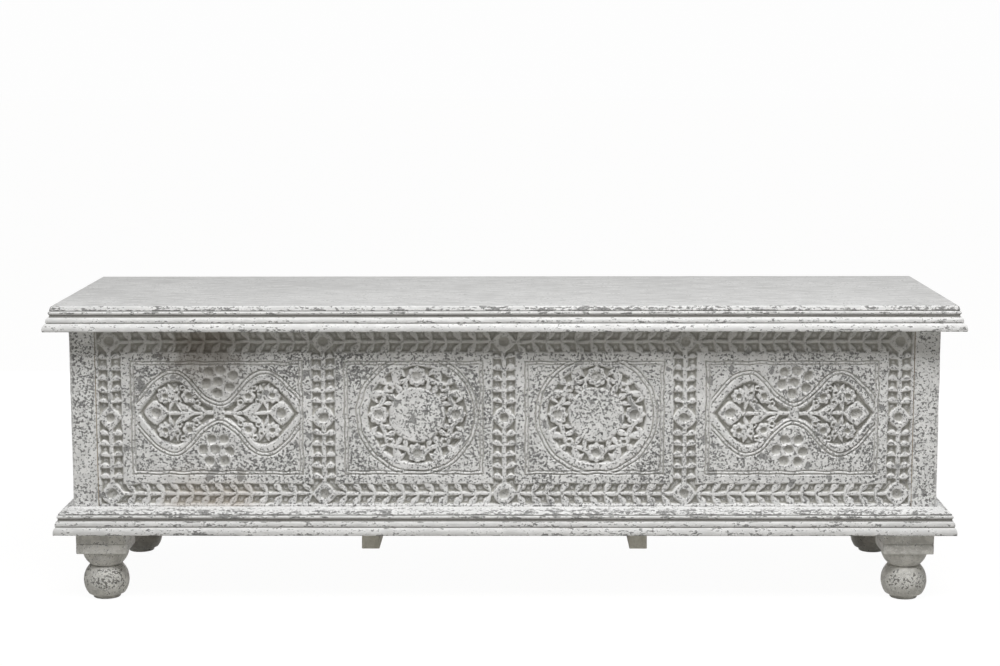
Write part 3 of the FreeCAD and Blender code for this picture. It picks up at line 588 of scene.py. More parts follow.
@dataclass
class MitredStrip:
    """A moulding along one side of the bench, mitred at the front corners.

    Attributes:
        run: The side that it covers.
        section: Closed fine run (out, up), out of the carcass.
        back: Where a side strip ends.
        rows: Height, half width and strength of each row of chipped paint.
        grime_and_shade_spans: Heights between which the section's hollows are darkened, by dirt and painted
            shade.
        step: Distance between stations.
        chips: Depth of the knocks on its arrises.
        wave: Height of the hand-planed waves on its face.
    """

    # How far from the carcass the worked face starts
    FACE = 0.5

    run: Run
    section: Array
    back: float
    rows: tuple[Triple, ...] = ()
    grime_and_shade_spans: tuple[Pair, ...] = ()
    step: float = 7.0
    chips: float = 1.1
    wave: float = 0.18

    def shape(self, seed: int) -> Shape:
        """Sweep the section along its side.

        Args:
            seed: Seed of the unevenness and the knocks.

        Returns:
            The closed shape.
        """
        edge, hollow, worn = self.marks()
        out, up = self.section.T
        face = out > self.FACE
        length = BENCH.body_end * 2 if self.run is Run.FRONT else self.back - BENCH.front
        stations, width = int(length // self.step) + 1, len(out)
        share = np.linspace(0, 1, stations)[:, None]
        track = np.stack(np.broadcast_arrays(share * length, up * 6), -1)
        knocks = (waves(track, 46, seed) - 0.75).clip(0, 1) * edge * self.chips
        reach = out - knocks + waves(track, 150, seed + 1) * self.wave * face
        rise = up + waves(track, 180, seed + 2) * self.wave / 1.5 * face
        if self.run is Run.FRONT:
            x, y = (share * 2 - 1) * (BENCH.body_end + out), BENCH.front - reach
        else:
            x = (BENCH.body_end + reach) * (-1 if self.run is Run.LEFT else 1)
            y = (BENCH.front - out) * (1 - share) + self.back * share
        grid = np.stack([x, y, rise], -1).reshape(-1, 3)
        numbers = range(stations * width)
        faces = quads(stations, width) + [tuple(numbers[:width]), tuple(numbers[-width:])]
        edge, hollow, worn = (np.tile(mark, stations) for mark in (edge, hollow, worn))
        return Shape(grid, faces, edge, hollow, worn=worn)

    def marks(self) -> tuple[Array, Array, Array]:
        """How the points of the section lie and wear.

        Returns:
            Exposure, shelter and worn paint of each point.
        """
        out, up = self.section.T
        face = out > self.FACE
        edge, hollow = Section.exposure(self.section)
        edge = np.maximum(edge, Section.crests(self.section) * 0.4)
        for low, high in self.grime_and_shade_spans:
            hollow[(up > low) & (up < high) & face] = 1.0
        worn = np.zeros(len(out))
        for height, half, strength in self.rows:
            worn = np.maximum(worn, strength * (1 - np.abs(up - height) / half).clip(0, 1))
        return edge, hollow, worn * face


@dataclass
class Lathe:
    """A turned solid.

    Attributes:
        section: Half section (radius, up), bottom to top.
        turns: Vertices round the axis.
        least: Radius of the small flats that close the ends.
        uneven: How far its radius strays, as a share.
    """

    section: Array
    turns: int = 80
    least: float = 0.4
    uneven: float = 0.004

    def shape(self, x: float, y: float, seed: int) -> Shape:
        """Turn the section about an upright axis.

        Args:
            x: Axis place.
            y: Axis place.
            seed: Seed of the unevenness.

        Returns:
            The closed shape.
        """
        edge, hollow = Section.exposure(self.section, closed=False)
        angle = np.linspace(0, 2 * math.pi, self.turns, endpoint=False)
        radius, up = np.maximum(self.section[:, :1], self.least), self.section[:, 1:]
        grid = np.stack(np.broadcast_arrays(radius * np.cos(angle), radius * np.sin(angle), up), -1)
        swell = 1 + waves(grid, 60, seed) * self.uneven
        grid[..., :2] *= swell[..., None]
        grid[..., :2] += (x, y)
        numbers = range(self.turns * len(radius))
        ends = [tuple(numbers[: self.turns])[::-1], tuple(numbers[-self.turns :])]
        edge, hollow = (np.repeat(mark, self.turns) for mark in (edge, hollow))
        return Shape(grid.reshape(-1, 3), quads(len(radius), self.turns) + ends, edge, hollow)


class Signal:
    """A shader value that plus, minus and times work on, each through a node of its own."""

    def __init__(self, wiring: "Wiring", socket: bpy.types.NodeSocket) -> None:
        """Keep the socket that the value comes from."""
        self.wiring = wiring
        self.socket = socket

    def __add__(self, other: "Signal | float") -> "Signal":
        """This value and another."""
        return self.wiring.math("ADD", self, other)

    def __sub__(self, other: "Signal | float") -> "Signal":
        """This value less another."""
        return self.wiring.math("SUBTRACT", self, other)

    def __rsub__(self, other: float) -> "Signal":
        """A number less this value."""
        return self.wiring.math("SUBTRACT", other, self)

    def __mul__(self, other: "Signal | float") -> "Signal":
        """This value times another."""
        return self.wiring.math("MULTIPLY", self, other)

    def towards(self, other: "Signal", share: "Signal | float") -> "Signal":
        """A value part of the way from this one to another."""
        return self + (other - self) * share

    def clamped(self) -> "Signal":
        """The value of a sum or product, kept from 0 to 1."""
        self.socket.node.use_clamp = True
        return self


class Wiring:
    """Adds and joins the nodes of one shader tree."""

    def __init__(self, tree: bpy.types.NodeTree) -> None:
        """Keep the tree that nodes are added to."""
        self.tree = tree

    def feed(self, socket: bpy.types.NodeSocket, value: object) -> None:
        """Join a socket to a signal, or set its value.

        Args:
            socket: The socket that is fed.
            value: A signal, or a value that the socket can hold.
        """
        if isinstance(value, Signal):
            self.tree.links.new(value.socket, socket)
        else:
            socket.default_value = value

    def add(self, kind: str, inputs: Inputs | None = None, **settings: object) -> Node:
        """Add a node.

        Args:
            kind: Blender's name of the node type.
            inputs: Values or signals by the input's name or number.
            settings: Properties of the node.

        Returns:
            The node.
        """
        node = self.tree.nodes.new(kind)
        for name, value in settings.items():
            setattr(node, name, value)
        for name, value in (inputs or {}).items():
            self.feed(node.inputs[name], value)
        return node

    def take(self, kind: str, inputs: Inputs | None = None, output: Key = 0, **settings: object) -> Signal:
        """Add a node and take one of its outputs, by name or number."""
        return Signal(self, self.add(kind, inputs, **settings).outputs[output])

    def math(self, operation: str, a: object, b: object) -> Signal:
        """Work out one number from two, by Blender's name of the operation."""
        return self.take("ShaderNodeMath", {0: a, 1: b}, operation=operation)

    def mix(self, share: object, a: object, b: object) -> Signal:
        """Mix two colours by the share of the second."""
        return self.take("ShaderNodeMix", {0: share, 6: a, 7: b}, 2, data_type="RGBA")

    def blend(self, share: Signal, a: Signal, b: Signal) -> Signal:
        """Mix two shaders by the share of the second."""
        return self.take("ShaderNodeMixShader", {0: share, 1: a, 2: b})

    def between(self, value: Signal, low: object, high: object) -> Signal:
        """A soft step from 0 below low to 1 above high."""
        inputs = {"Value": value, "From Min": low, "From Max": high}
        return self.take("ShaderNodeMapRange", inputs, interpolation_type="SMOOTHSTEP")

    def noise(self, place: Signal, scale: object, detail: float = 2.0, rough: float = 0.5) -> Signal:
        """Cloudy noise of the given scale."""
        inputs = {"Vector": place, "Scale": scale, "Detail": detail, "Roughness": rough}
        return self.take("ShaderNodeTexNoise", inputs)

    def place(self) -> Signal:
        """The place on the piece, in its own metres."""
        return self.take("ShaderNodeTexCoord", output="Object")

    def scaled(self, place: Signal, shares: tuple[float, ...]) -> Signal:
        """A place with each axis shrunk to its share."""
        return self.take("ShaderNodeMapping", {"Vector": place, "Scale": shares})

    def dress(self, shader: Node, look: dict[str, Signal], strength: float, depth: float) -> None:
        """Feed a look into a Principled shader.

        Args:
            shader: The shader.
            look: Color, Roughness and Height.
            strength: Strength of the relief.
            depth: Its greatest depth in metres.
        """
        relief = {"Strength": strength, "Distance": depth, "Height": look["Height"]}
        self.feed(shader.inputs["Base Color"], look["Color"])
        self.feed(shader.inputs["Roughness"], look["Roughness"])
        self.feed(shader.inputs["Normal"], self.take("ShaderNodeBump", relief))


class Effect:
    """A shared effect, kept as one node group that materials use with their own values.

    A subclass gives its name, its inputs and its outputs, each with its kind of socket.
    """

    NAME = ""
    INPUTS: dict[str, str] = {}
    OUTPUTS = {"Color": "Color", "Roughness": "Float", "Height": "Float"}

    def group(self) -> bpy.types.NodeTree:
        """The node group, built when it is first asked for.

        Returns:
            The group.
        """
        known = bpy.data.node_groups.get(self.NAME)
        if known:
            return known
        tree = bpy.data.node_groups.new(self.NAME, "ShaderNodeTree")
        for way, sockets in (("INPUT", self.INPUTS), ("OUTPUT", self.OUTPUTS)):
            for name, kind in sockets.items():
                tree.interface.new_socket(name=name, in_out=way, socket_type=f"NodeSocket{kind}")
        wiring = Wiring(tree)
        entry = wiring.add("NodeGroupInput")
        result = wiring.add("NodeGroupOutput")
        given = {name: Signal(wiring, entry.outputs[name]) for name in self.INPUTS}
        for name, value in self.build(wiring, given).items():
            wiring.feed(result.inputs[name], value)
        return tree

    def build(self, wiring: Wiring, given: dict[str, Signal]) -> dict[str, Signal]:
        """Wire the inside of the group, from its inputs to its outputs by name."""
        raise NotImplementedError

    def use(self, wiring: Wiring, values: Inputs) -> dict[str, Signal]:
        """Place the group in a material, feed its inputs by name and give back its outputs by name."""
        node = wiring.add("ShaderNodeGroup", values, node_tree=self.group())
        return {name: Signal(wiring, node.outputs[name]) for name in self.OUTPUTS}


class PaintWear(Effect):
    """Crusty white paint over a grey ground: specks, worn patches, arrises paled partly as painted highlight,
    and hollows darkened by dirt and painted shade.

    COLOURS and LEVELS are named for the fields of a paint finish, MARKS for what a mesh's vertices
    carry. Each noise has its scale, detail and roughness. SHEEN is the coat's roughness with what
    bare spots and grain add, RELIEF the height that the coat, its grain and its streaks give.
    """

    NAME = "paint_wear"
    COLOURS = ("coat", "ground", "grime")
    MARKS = ("edge", "hollow", "worn")
    LEVELS = (
        "speck_scale", "speck_level", "flake_level", "patch", "streak", "edge_light", "edge_chips",
        "grime_share", "dull", "rim", "dots",
    )
    INPUTS = {
        **dict.fromkeys(("place", "along"), "Vector"),
        **dict.fromkeys(COLOURS, "Color"),
        **dict.fromkeys(MARKS + LEVELS, "Float"),
    }
    SPECK_DETAIL = (3.0, 0.62)
    CRUST_SCALE = 2.4
    CLOUD = (6.5, 4.0, 0.55)
    STREAK = (150.0, 4.0, 0.62)
    MOTTLE = (75.0, 3.0, 0.6)
    FLAKES = (42.0, 3.0, 0.5)
    DOTS = (285.0, 1.0, 0.4)
    FINE_SHARE = 0.72
    CHIP_LEVEL = 0.4
    WORN_SHARE = 0.1
    SPECK_STEP = (-0.022, 0.024)
    FLAKE_STEP = 0.02
    FLAKE_SHARE = 0.8
    DOT_STEP = (0.64, 0.67)
    TINT_STEP = (0.42, 0.58)
    MOTTLE_SHARE = 0.8
    GRIT_STEP = (0.36, 0.64)
    DEEP_SHARE = 0.3
    SHALLOW_SHARE = 0.22
    KEPT_SHARE = 0.7
    PALE_AND_HIGHLIGHT_SHARE = 0.75
    SOIL_AND_SHADE_LEVEL = 0.62
    SOIL_AND_SHADE_SHARE = 0.6
    SHEEN = (0.5, 0.22, 0.12)
    RELIEF = (0.55, 0.45, 0.25)
    RIM_WIDTH = 0.05
    RIM_PAINT = (0.95, 0.95, 0.945, 1.0)
    PALE_PAINT_AND_HIGHLIGHT = (0.9, 0.9, 0.89, 1.0)
    BLACK = (0.0, 0.0, 0.0, 1.0)

    def build(self, wiring: Wiring, given: dict[str, Signal]) -> dict[str, Signal]:
        """Wire specks, patches, streaks, arrises and hollows together.

        Args:
            wiring: The group's tree.
            given: The group's inputs by name.

        Returns:
            Colour, roughness and height.
        """
        place, edge, hollow = given["place"], given["edge"], given["hollow"]
        fine = wiring.noise(place, given["speck_scale"], *self.SPECK_DETAIL)
        crust = wiring.noise(place, given["speck_scale"] * self.CRUST_SCALE)
        cloud, mottle, blots, freckles = (
            wiring.noise(place, *noise) for noise in (self.CLOUD, self.MOTTLE, self.FLAKES, self.DOTS)
        )
        streak = wiring.noise(given["along"], *self.STREAK)

        wear = fine * self.FINE_SHARE + crust * (1 - self.FINE_SHARE)
        wear += (cloud - 0.5) * given["patch"] + (streak - 0.5) * given["streak"]
        wear += edge * given["edge_chips"] * (streak - self.CHIP_LEVEL) + given["worn"] * self.WORN_SHARE
        low, high = (given["speck_level"] + shift for shift in self.SPECK_STEP)
        flakes = wiring.between(blots, given["flake_level"], given["flake_level"] + self.FLAKE_STEP)
        bare = wiring.math("MAXIMUM", wiring.between(wear, low, high), flakes * self.FLAKE_SHARE)
        # Arrises are whitened: paler paint, and painted highlight on raised edges.
        pale = (edge * given["edge_light"]).clamped()
        bare = bare * (1.0 - pale) * (1.0 - hollow * self.KEPT_SHARE)
        dots = wiring.between(freckles, *self.DOT_STEP) * (given["dots"] - hollow).clamped()
        bare = wiring.math("MAXIMUM", bare, dots)

        tint = mottle.towards(streak, given["streak"]) * self.MOTTLE_SHARE + cloud * (1 - self.MOTTLE_SHARE)
        dulled = wiring.mix(given["dull"], given["coat"], given["ground"])
        coat = wiring.mix(wiring.between(tint, *self.TINT_STEP), dulled, given["coat"])
        rim = wiring.between(wear, low - self.RIM_WIDTH, low)
        coat = wiring.mix(rim * given["rim"], coat, self.RIM_PAINT)
        deep = wiring.mix(self.DEEP_SHARE, given["ground"], self.BLACK)
        shallow = wiring.mix(self.SHALLOW_SHARE, given["ground"], given["coat"])
        ground = wiring.mix(wiring.between(crust, *self.GRIT_STEP), deep, shallow)
        colour = wiring.mix(bare, coat, ground)
        # Painted highlight and paler paint on the arrises.
        colour = wiring.mix(pale * self.PALE_AND_HIGHLIGHT_SHARE, colour, self.PALE_PAINT_AND_HIGHLIGHT)
        # The hollows are darkened: dirt, and painted shade in creases and recesses.
        soil_and_shade = (hollow * given["grime_share"] * (crust * self.SOIL_AND_SHADE_SHARE + self.SOIL_AND_SHADE_LEVEL)).clamped()
        sheen, bare_sheen, grain_sheen = self.SHEEN
        coat_high, grain_high, streak_high = self.RELIEF
        return {
            "Color": wiring.mix(soil_and_shade, colour, given["grime"]),
            "Roughness": (bare * bare_sheen + sheen + fine * grain_sheen).clamped(),
            "Height": (1.0 - bare) * coat_high + fine * grain_high + streak * streak_high,
        }


class WoodFigure(Effect):
    """Bare sawn wood: long grain, pores and darker weathering.

    Each noise has its scale, detail and roughness.
    """

    NAME = "wood_figure"
    INPUTS = {"along": "Vector", "light": "Color", "dark": "Color"}
    BANDS = (60.0, 4.0, 0.6)
    PORES = (420.0, 2.0, 0.6)
    CLOUD = (9.0, 2.0, 0.5)
    FIGURE_STEP = (0.35, 0.68)

    def build(self, wiring: Wiring, given: dict[str, Signal]) -> dict[str, Signal]:
        """Wire grain, pores and weathering together.

        Args:
            wiring: The group's tree.
            given: The group's inputs by name.

        Returns:
            Colour, roughness and height.
        """
        noises = (self.BANDS, self.PORES, self.CLOUD)
        bands, pores, cloud = (wiring.noise(given["along"], *noise) for noise in noises)
        figure = bands * 0.65 + pores * 0.35 + (cloud - 0.5) * 0.4
        return {
            "Color": wiring.mix(wiring.between(figure, *self.FIGURE_STEP), given["light"], given["dark"]),
            "Roughness": (pores * 0.25 + 0.62).clamped(),
            "Height": bands - pores * 0.4,
        }


class SoftStain(Effect):
    """A round stain with a ragged border, about a place on the object."""

    NAME = "soft_stain"
    INPUTS = {"place": "Vector", "middle": "Vector", "radius": "Float"}
    OUTPUTS = {"Mask": "Float"}
    RAGGED = (70.0, 3.0, 0.6)
    BORDER = (0.45, 1.35)

    def build(self, wiring: Wiring, given: dict[str, Signal]) -> dict[str, Signal]:
        """Wire the distance from the middle with a ragged border.

        Args:
            wiring: The group's tree.
            given: The group's inputs by name.

        Returns:
            The mask.
        """
        ends = {0: given["place"], 1: given["middle"]}
        apart = wiring.take("ShaderNodeVectorMath", ends, "Value", operation="DISTANCE")
        share = wiring.math("DIVIDE", apart, given["radius"])
        ragged = share + wiring.noise(given["place"], *self.RAGGED) * 0.9
        return {"Mask": 1.0 - wiring.between(ragged, *self.BORDER)}


def principled(name: str) -> tuple[Material, Wiring, Node]:
    """A new material with one Principled shader.

    Args:
        name: Name of the material.

    Returns:
        The material, its wiring and the shader.
    """
    material = bpy.data.materials.new(name)
    material.use_nodes = True
    material.node_tree.nodes.clear()
    wiring = Wiring(material.node_tree)
    shader = wiring.add("ShaderNodeBsdfPrincipled")
    wiring.add("ShaderNodeOutputMaterial", {"Surface": Signal(wiring, shader.outputs[0])})
    return material, wiring, shader


def rgba(colour: Colour) -> tuple[float, float, float, float]:
    """A colour with full alpha."""
    return (*colour, 1.0)


@dataclass(frozen=True)
class WoodFinish:
    """Bare wood.

    Attributes:
        name: Name that its materials start with.
        light: Colour of the early wood.
        dark: Colour of the late wood and the pores.
        bump: Strength of the grain's relief.
        depth: Greatest depth of the relief, in metres.
        shine: Level of the shader's highlights.
    """

    name: str
    light: Colour = (0.42, 0.34, 0.245)
    dark: Colour = (0.21, 0.155, 0.1)
    bump: float = 0.3
    depth: float = 0.0006
    shine: float = 0.3

    def look(self, wiring: Wiring, along: Signal) -> dict[str, Signal]:
        """Colour, roughness and height of the wood along its grain."""
        values = {"along": along, "light": rgba(self.light), "dark": rgba(self.dark)}
        return WoodFigure().use(wiring, values)

    @cache
    def material(self, grain: Grain) -> Material:
        """The finish on wood whose grain runs one way.

        Args:
            grain: The way that the grain runs.

        Returns:
            The material, made once for each way.
        """
        material, wiring, shader = principled(f"{self.name}_{grain.name.lower()}")
        shrink = tuple(value * 0.5 if value < 1 else value for value in grain.value)
        along = wiring.scaled(wiring.place(), shrink)
        wiring.dress(shader, self.look(wiring, along), self.bump, self.depth)
        shader.inputs["Specular IOR Level"].default_value = self.shine
        return material


@dataclass(frozen=True)
class IronFinish:
    """Dull hinge steel.

    Attributes:
        name: Name of its material.
        clean: Colour of the clean steel.
        dull: Colour of the dull patches.
        patches: Scale, detail and roughness of the patches.
        pitting: Scale and detail of the fine pitting.
    """

    name: str
    clean: Colour = (0.34, 0.33, 0.31)
    dull: Colour = (0.16, 0.13, 0.1)
    patches: Triple = (160.0, 4.0, 0.65)
    pitting: Pair = (700.0, 3.0)

    @cache
    def material(self) -> Material:
        """The finish, made once.

        Returns:
            The material.
        """
        material, wiring, shader = principled(self.name)
        place = wiring.place()
        cloud = wiring.between(wiring.noise(place, *self.patches), 0.4, 0.66)
        look = {
            "Color": wiring.mix(cloud, rgba(self.clean), rgba(self.dull)),
            "Roughness": cloud * 0.35 + 0.34,
            "Height": wiring.noise(place, *self.pitting),
        }
        wiring.dress(shader, look, 0.2, 0.0003)
        shader.inputs["Metallic"].default_value = 0.9
        return material


@dataclass(frozen=True)
class Stain:
    """A mark on the paint.

    Attributes:
        place: Its middle, in metres.
        radius: Its reach, in metres.
        colour: Its colour.
        strength: How far it covers the paint.
    """

    place: Triple
    radius: float
    colour: Colour
    strength: float


@dataclass(frozen=True)
class PaintFinish:
    """Distressed paint.

    Attributes:
        name: Name that its materials start with.
        coat: Colour of the top coat.
        ground: Colour that shows where the coat is worn.
        grime: Colour that darkens the hollows, as dirt and painted shade.
        speck_scale: Fineness of the specks.
        speck_level: Wear above which the ground shows; lower is more worn.
        flake_level: Noise above which the coat is gone in a whole patch.
        patch: How unevenly the wear is spread.
        streak: How much the wear runs in streaks.
        edge_light: How pale the arrises are, as paler paint and painted highlight.
        edge_chips: How chipped the arrises are.
        grime_share: How far the hollows are darkened, by dirt and painted shade.
        dull: How far the coat greys from place to place.
        rim: How pale the coat's raised rim round a speck is.
        dots: How dark the fine dots all over the coat are.
        stretch: How far specks are drawn out along the grain.
        bump: Strength of the paint's relief.
        depth: Greatest depth of the relief, in metres.
        shine: Level of the shader's highlights.
        stains: Brown and grey marks; the grey one on the carving is partly painted shade.
    """

    name: str
    coat: Colour = (0.9, 0.9, 0.895)
    ground: Colour = (0.19, 0.19, 0.188)
    grime: Colour = (0.3, 0.295, 0.265)
    speck_scale: float = 330.0
    speck_level: float = 0.56
    flake_level: float = 0.72
    patch: float = 0.28
    streak: float = 0.1
    edge_light: float = 0.4
    edge_chips: float = 0.5
    grime_share: float = 0.8
    dull: float = 0.2
    rim: float = 0.0
    dots: float = 0.0
    stretch: float = 1.0
    bump: float = 0.35
    depth: float = 0.0018
    shine: float = 0.35
    stains: tuple[Stain, ...] = ()

    @cache
    def material(self, grain: Grain, inner: WoodFinish | None = None, plane: float = 0.0) -> Material:
        """The finish on wood whose wear runs one way.

        Args:
            grain: The way that streaks run.
            inner: Bare wood in front of a plane, for a board painted on one side.
            plane: Where the paint starts, on the y axis in metres.

        Returns:
            The material, made once for each way.
        """
        name = f"{self.name}_{grain.name.lower()}" + ("_one_side" if inner else "")
        material, wiring, shader = principled(name)
        place = wiring.place()
        along = wiring.scaled(place, grain.value)
        drawn = tuple(1.0 if share == max(grain.value) else 1.0 / self.stretch for share in grain.value)
        values: Inputs = {"place": wiring.scaled(place, drawn), "along": along}
        values |= {key: rgba(getattr(self, key)) for key in PaintWear.COLOURS}
        values |= {key: getattr(self, key) for key in PaintWear.LEVELS}
        for mark in PaintWear.MARKS:
            values[mark] = wiring.take("ShaderNodeAttribute", output="Fac", attribute_name=mark)
        look = PaintWear().use(wiring, values)
        for stain in self.stains:
            spot = {"place": place, "middle": stain.place, "radius": stain.radius}
            share = SoftStain().use(wiring, spot)["Mask"] * stain.strength
            look["Color"] = wiring.mix(share, look["Color"], rgba(stain.colour))
        if inner:
            wood = inner.look(wiring, along)
            deep = wiring.take("ShaderNodeSeparateXYZ", {"Vector": place}, "Y")
            painted = wiring.between(deep, plane - MM / 2, plane + MM / 2)
            look["Color"] = wiring.mix(painted, wood["Color"], look["Color"])
            for kind in ("Roughness", "Height"):
                look[kind] = wood[kind].towards(look[kind], painted)
        wiring.dress(shader, look, self.bump, self.depth)
        shader.inputs["Specular IOR Level"].default_value = self.shine
        return material


PLAIN = PaintFinish(
    "posts_paint",
    coat=(0.92, 0.92, 0.915),
    ground=(0.155, 0.155, 0.153),
    speck_scale=235.0,
    speck_level=0.562,
    flake_level=0.66,
    dull=0.18,
    rim=0.8,
    dots=1.0,
    bump=1.0,
)
BOARDS = PaintFinish(
    "boards_paint",
    coat=(0.92, 0.92, 0.915),
    speck_scale=225.0,
    speck_level=0.592,
    flake_level=0.66,
    patch=0.4,
    streak=0.22,
    dull=0.3,
    rim=0.8,
    dots=0.8,
    stretch=1.7,
    bump=0.8,
)
MOULDED = PaintFinish(
    "moulding_paint",
    coat=(0.83, 0.83, 0.827),
    ground=(0.22, 0.22, 0.216),
    grime=(0.2, 0.195, 0.18),
    speck_scale=370.0,
    speck_level=0.62,
    flake_level=0.8,
    patch=0.2,
    streak=0.55,
    edge_light=0.0,
    edge_chips=0.8,
    grime_share=1.0,
    rim=0.4,
    stretch=2.2,
)
# The lid's coat is darker than the body's paint: painted shade that tones down the strong top light on the
# lid.
LID_TOP_SHADE_DIMMED = PaintFinish(
    "lid_paint",
    coat=(0.62, 0.62, 0.617),
    ground=(0.22, 0.22, 0.216),
    speck_scale=260.0,
    speck_level=0.69,
    flake_level=0.8,
    patch=0.14,
    streak=0.85,
    edge_light=0.0,
    edge_chips=1.0,
    dull=0.42,
    bump=0.3,
)
TURNED = PaintFinish(
    "feet_paint",
    coat=(0.72, 0.71, 0.67),
    ground=(0.17, 0.165, 0.15),
    speck_scale=240.0,
    speck_level=0.64,
    flake_level=0.74,
    patch=0.34,
    streak=0.36,
    edge_light=0.1,
    edge_chips=0.25,
    grime_share=0.0,
    dull=0.34,
    rim=0.5,
    bump=0.4,
)
CARVED = replace(
    PLAIN,
    name="carving_paint",
    grime=(0.36, 0.35, 0.31),
    speck_level=0.556,
    flake_level=0.645,
    edge_light=0.6,
    edge_chips=0.0,
    grime_share=0.85,
    bump=1.1,
    stains=(
        Stain((-0.476, -0.18, 0.413), 0.1, (0.24, 0.18, 0.12), 0.55),
        # Grey mark under the top border: partly worn grey paint, partly painted shade from the lid's
        # overhang.
        Stain((-0.46, -0.18, 0.378), 0.12, (0.24, 0.235, 0.22), 0.42),
        Stain((-0.5, -0.18, 0.162), 0.08, (0.5, 0.41, 0.32), 0.35),
        Stain((-0.43, -0.18, 0.162), 0.07, (0.5, 0.41, 0.32), 0.35),
    ),
)
INSIDE = WoodFinish("inner_wood")
# The bearers' wood is far paler than bare wood: painted light that makes up for the little light reaching
# them under the floor.
BEARER_WOOD_LIGHTENED = WoodFinish("greyed_wood", (0.72, 0.7, 0.63), (0.56, 0.54, 0.47))
HINGE = IronFinish("hinge_steel")


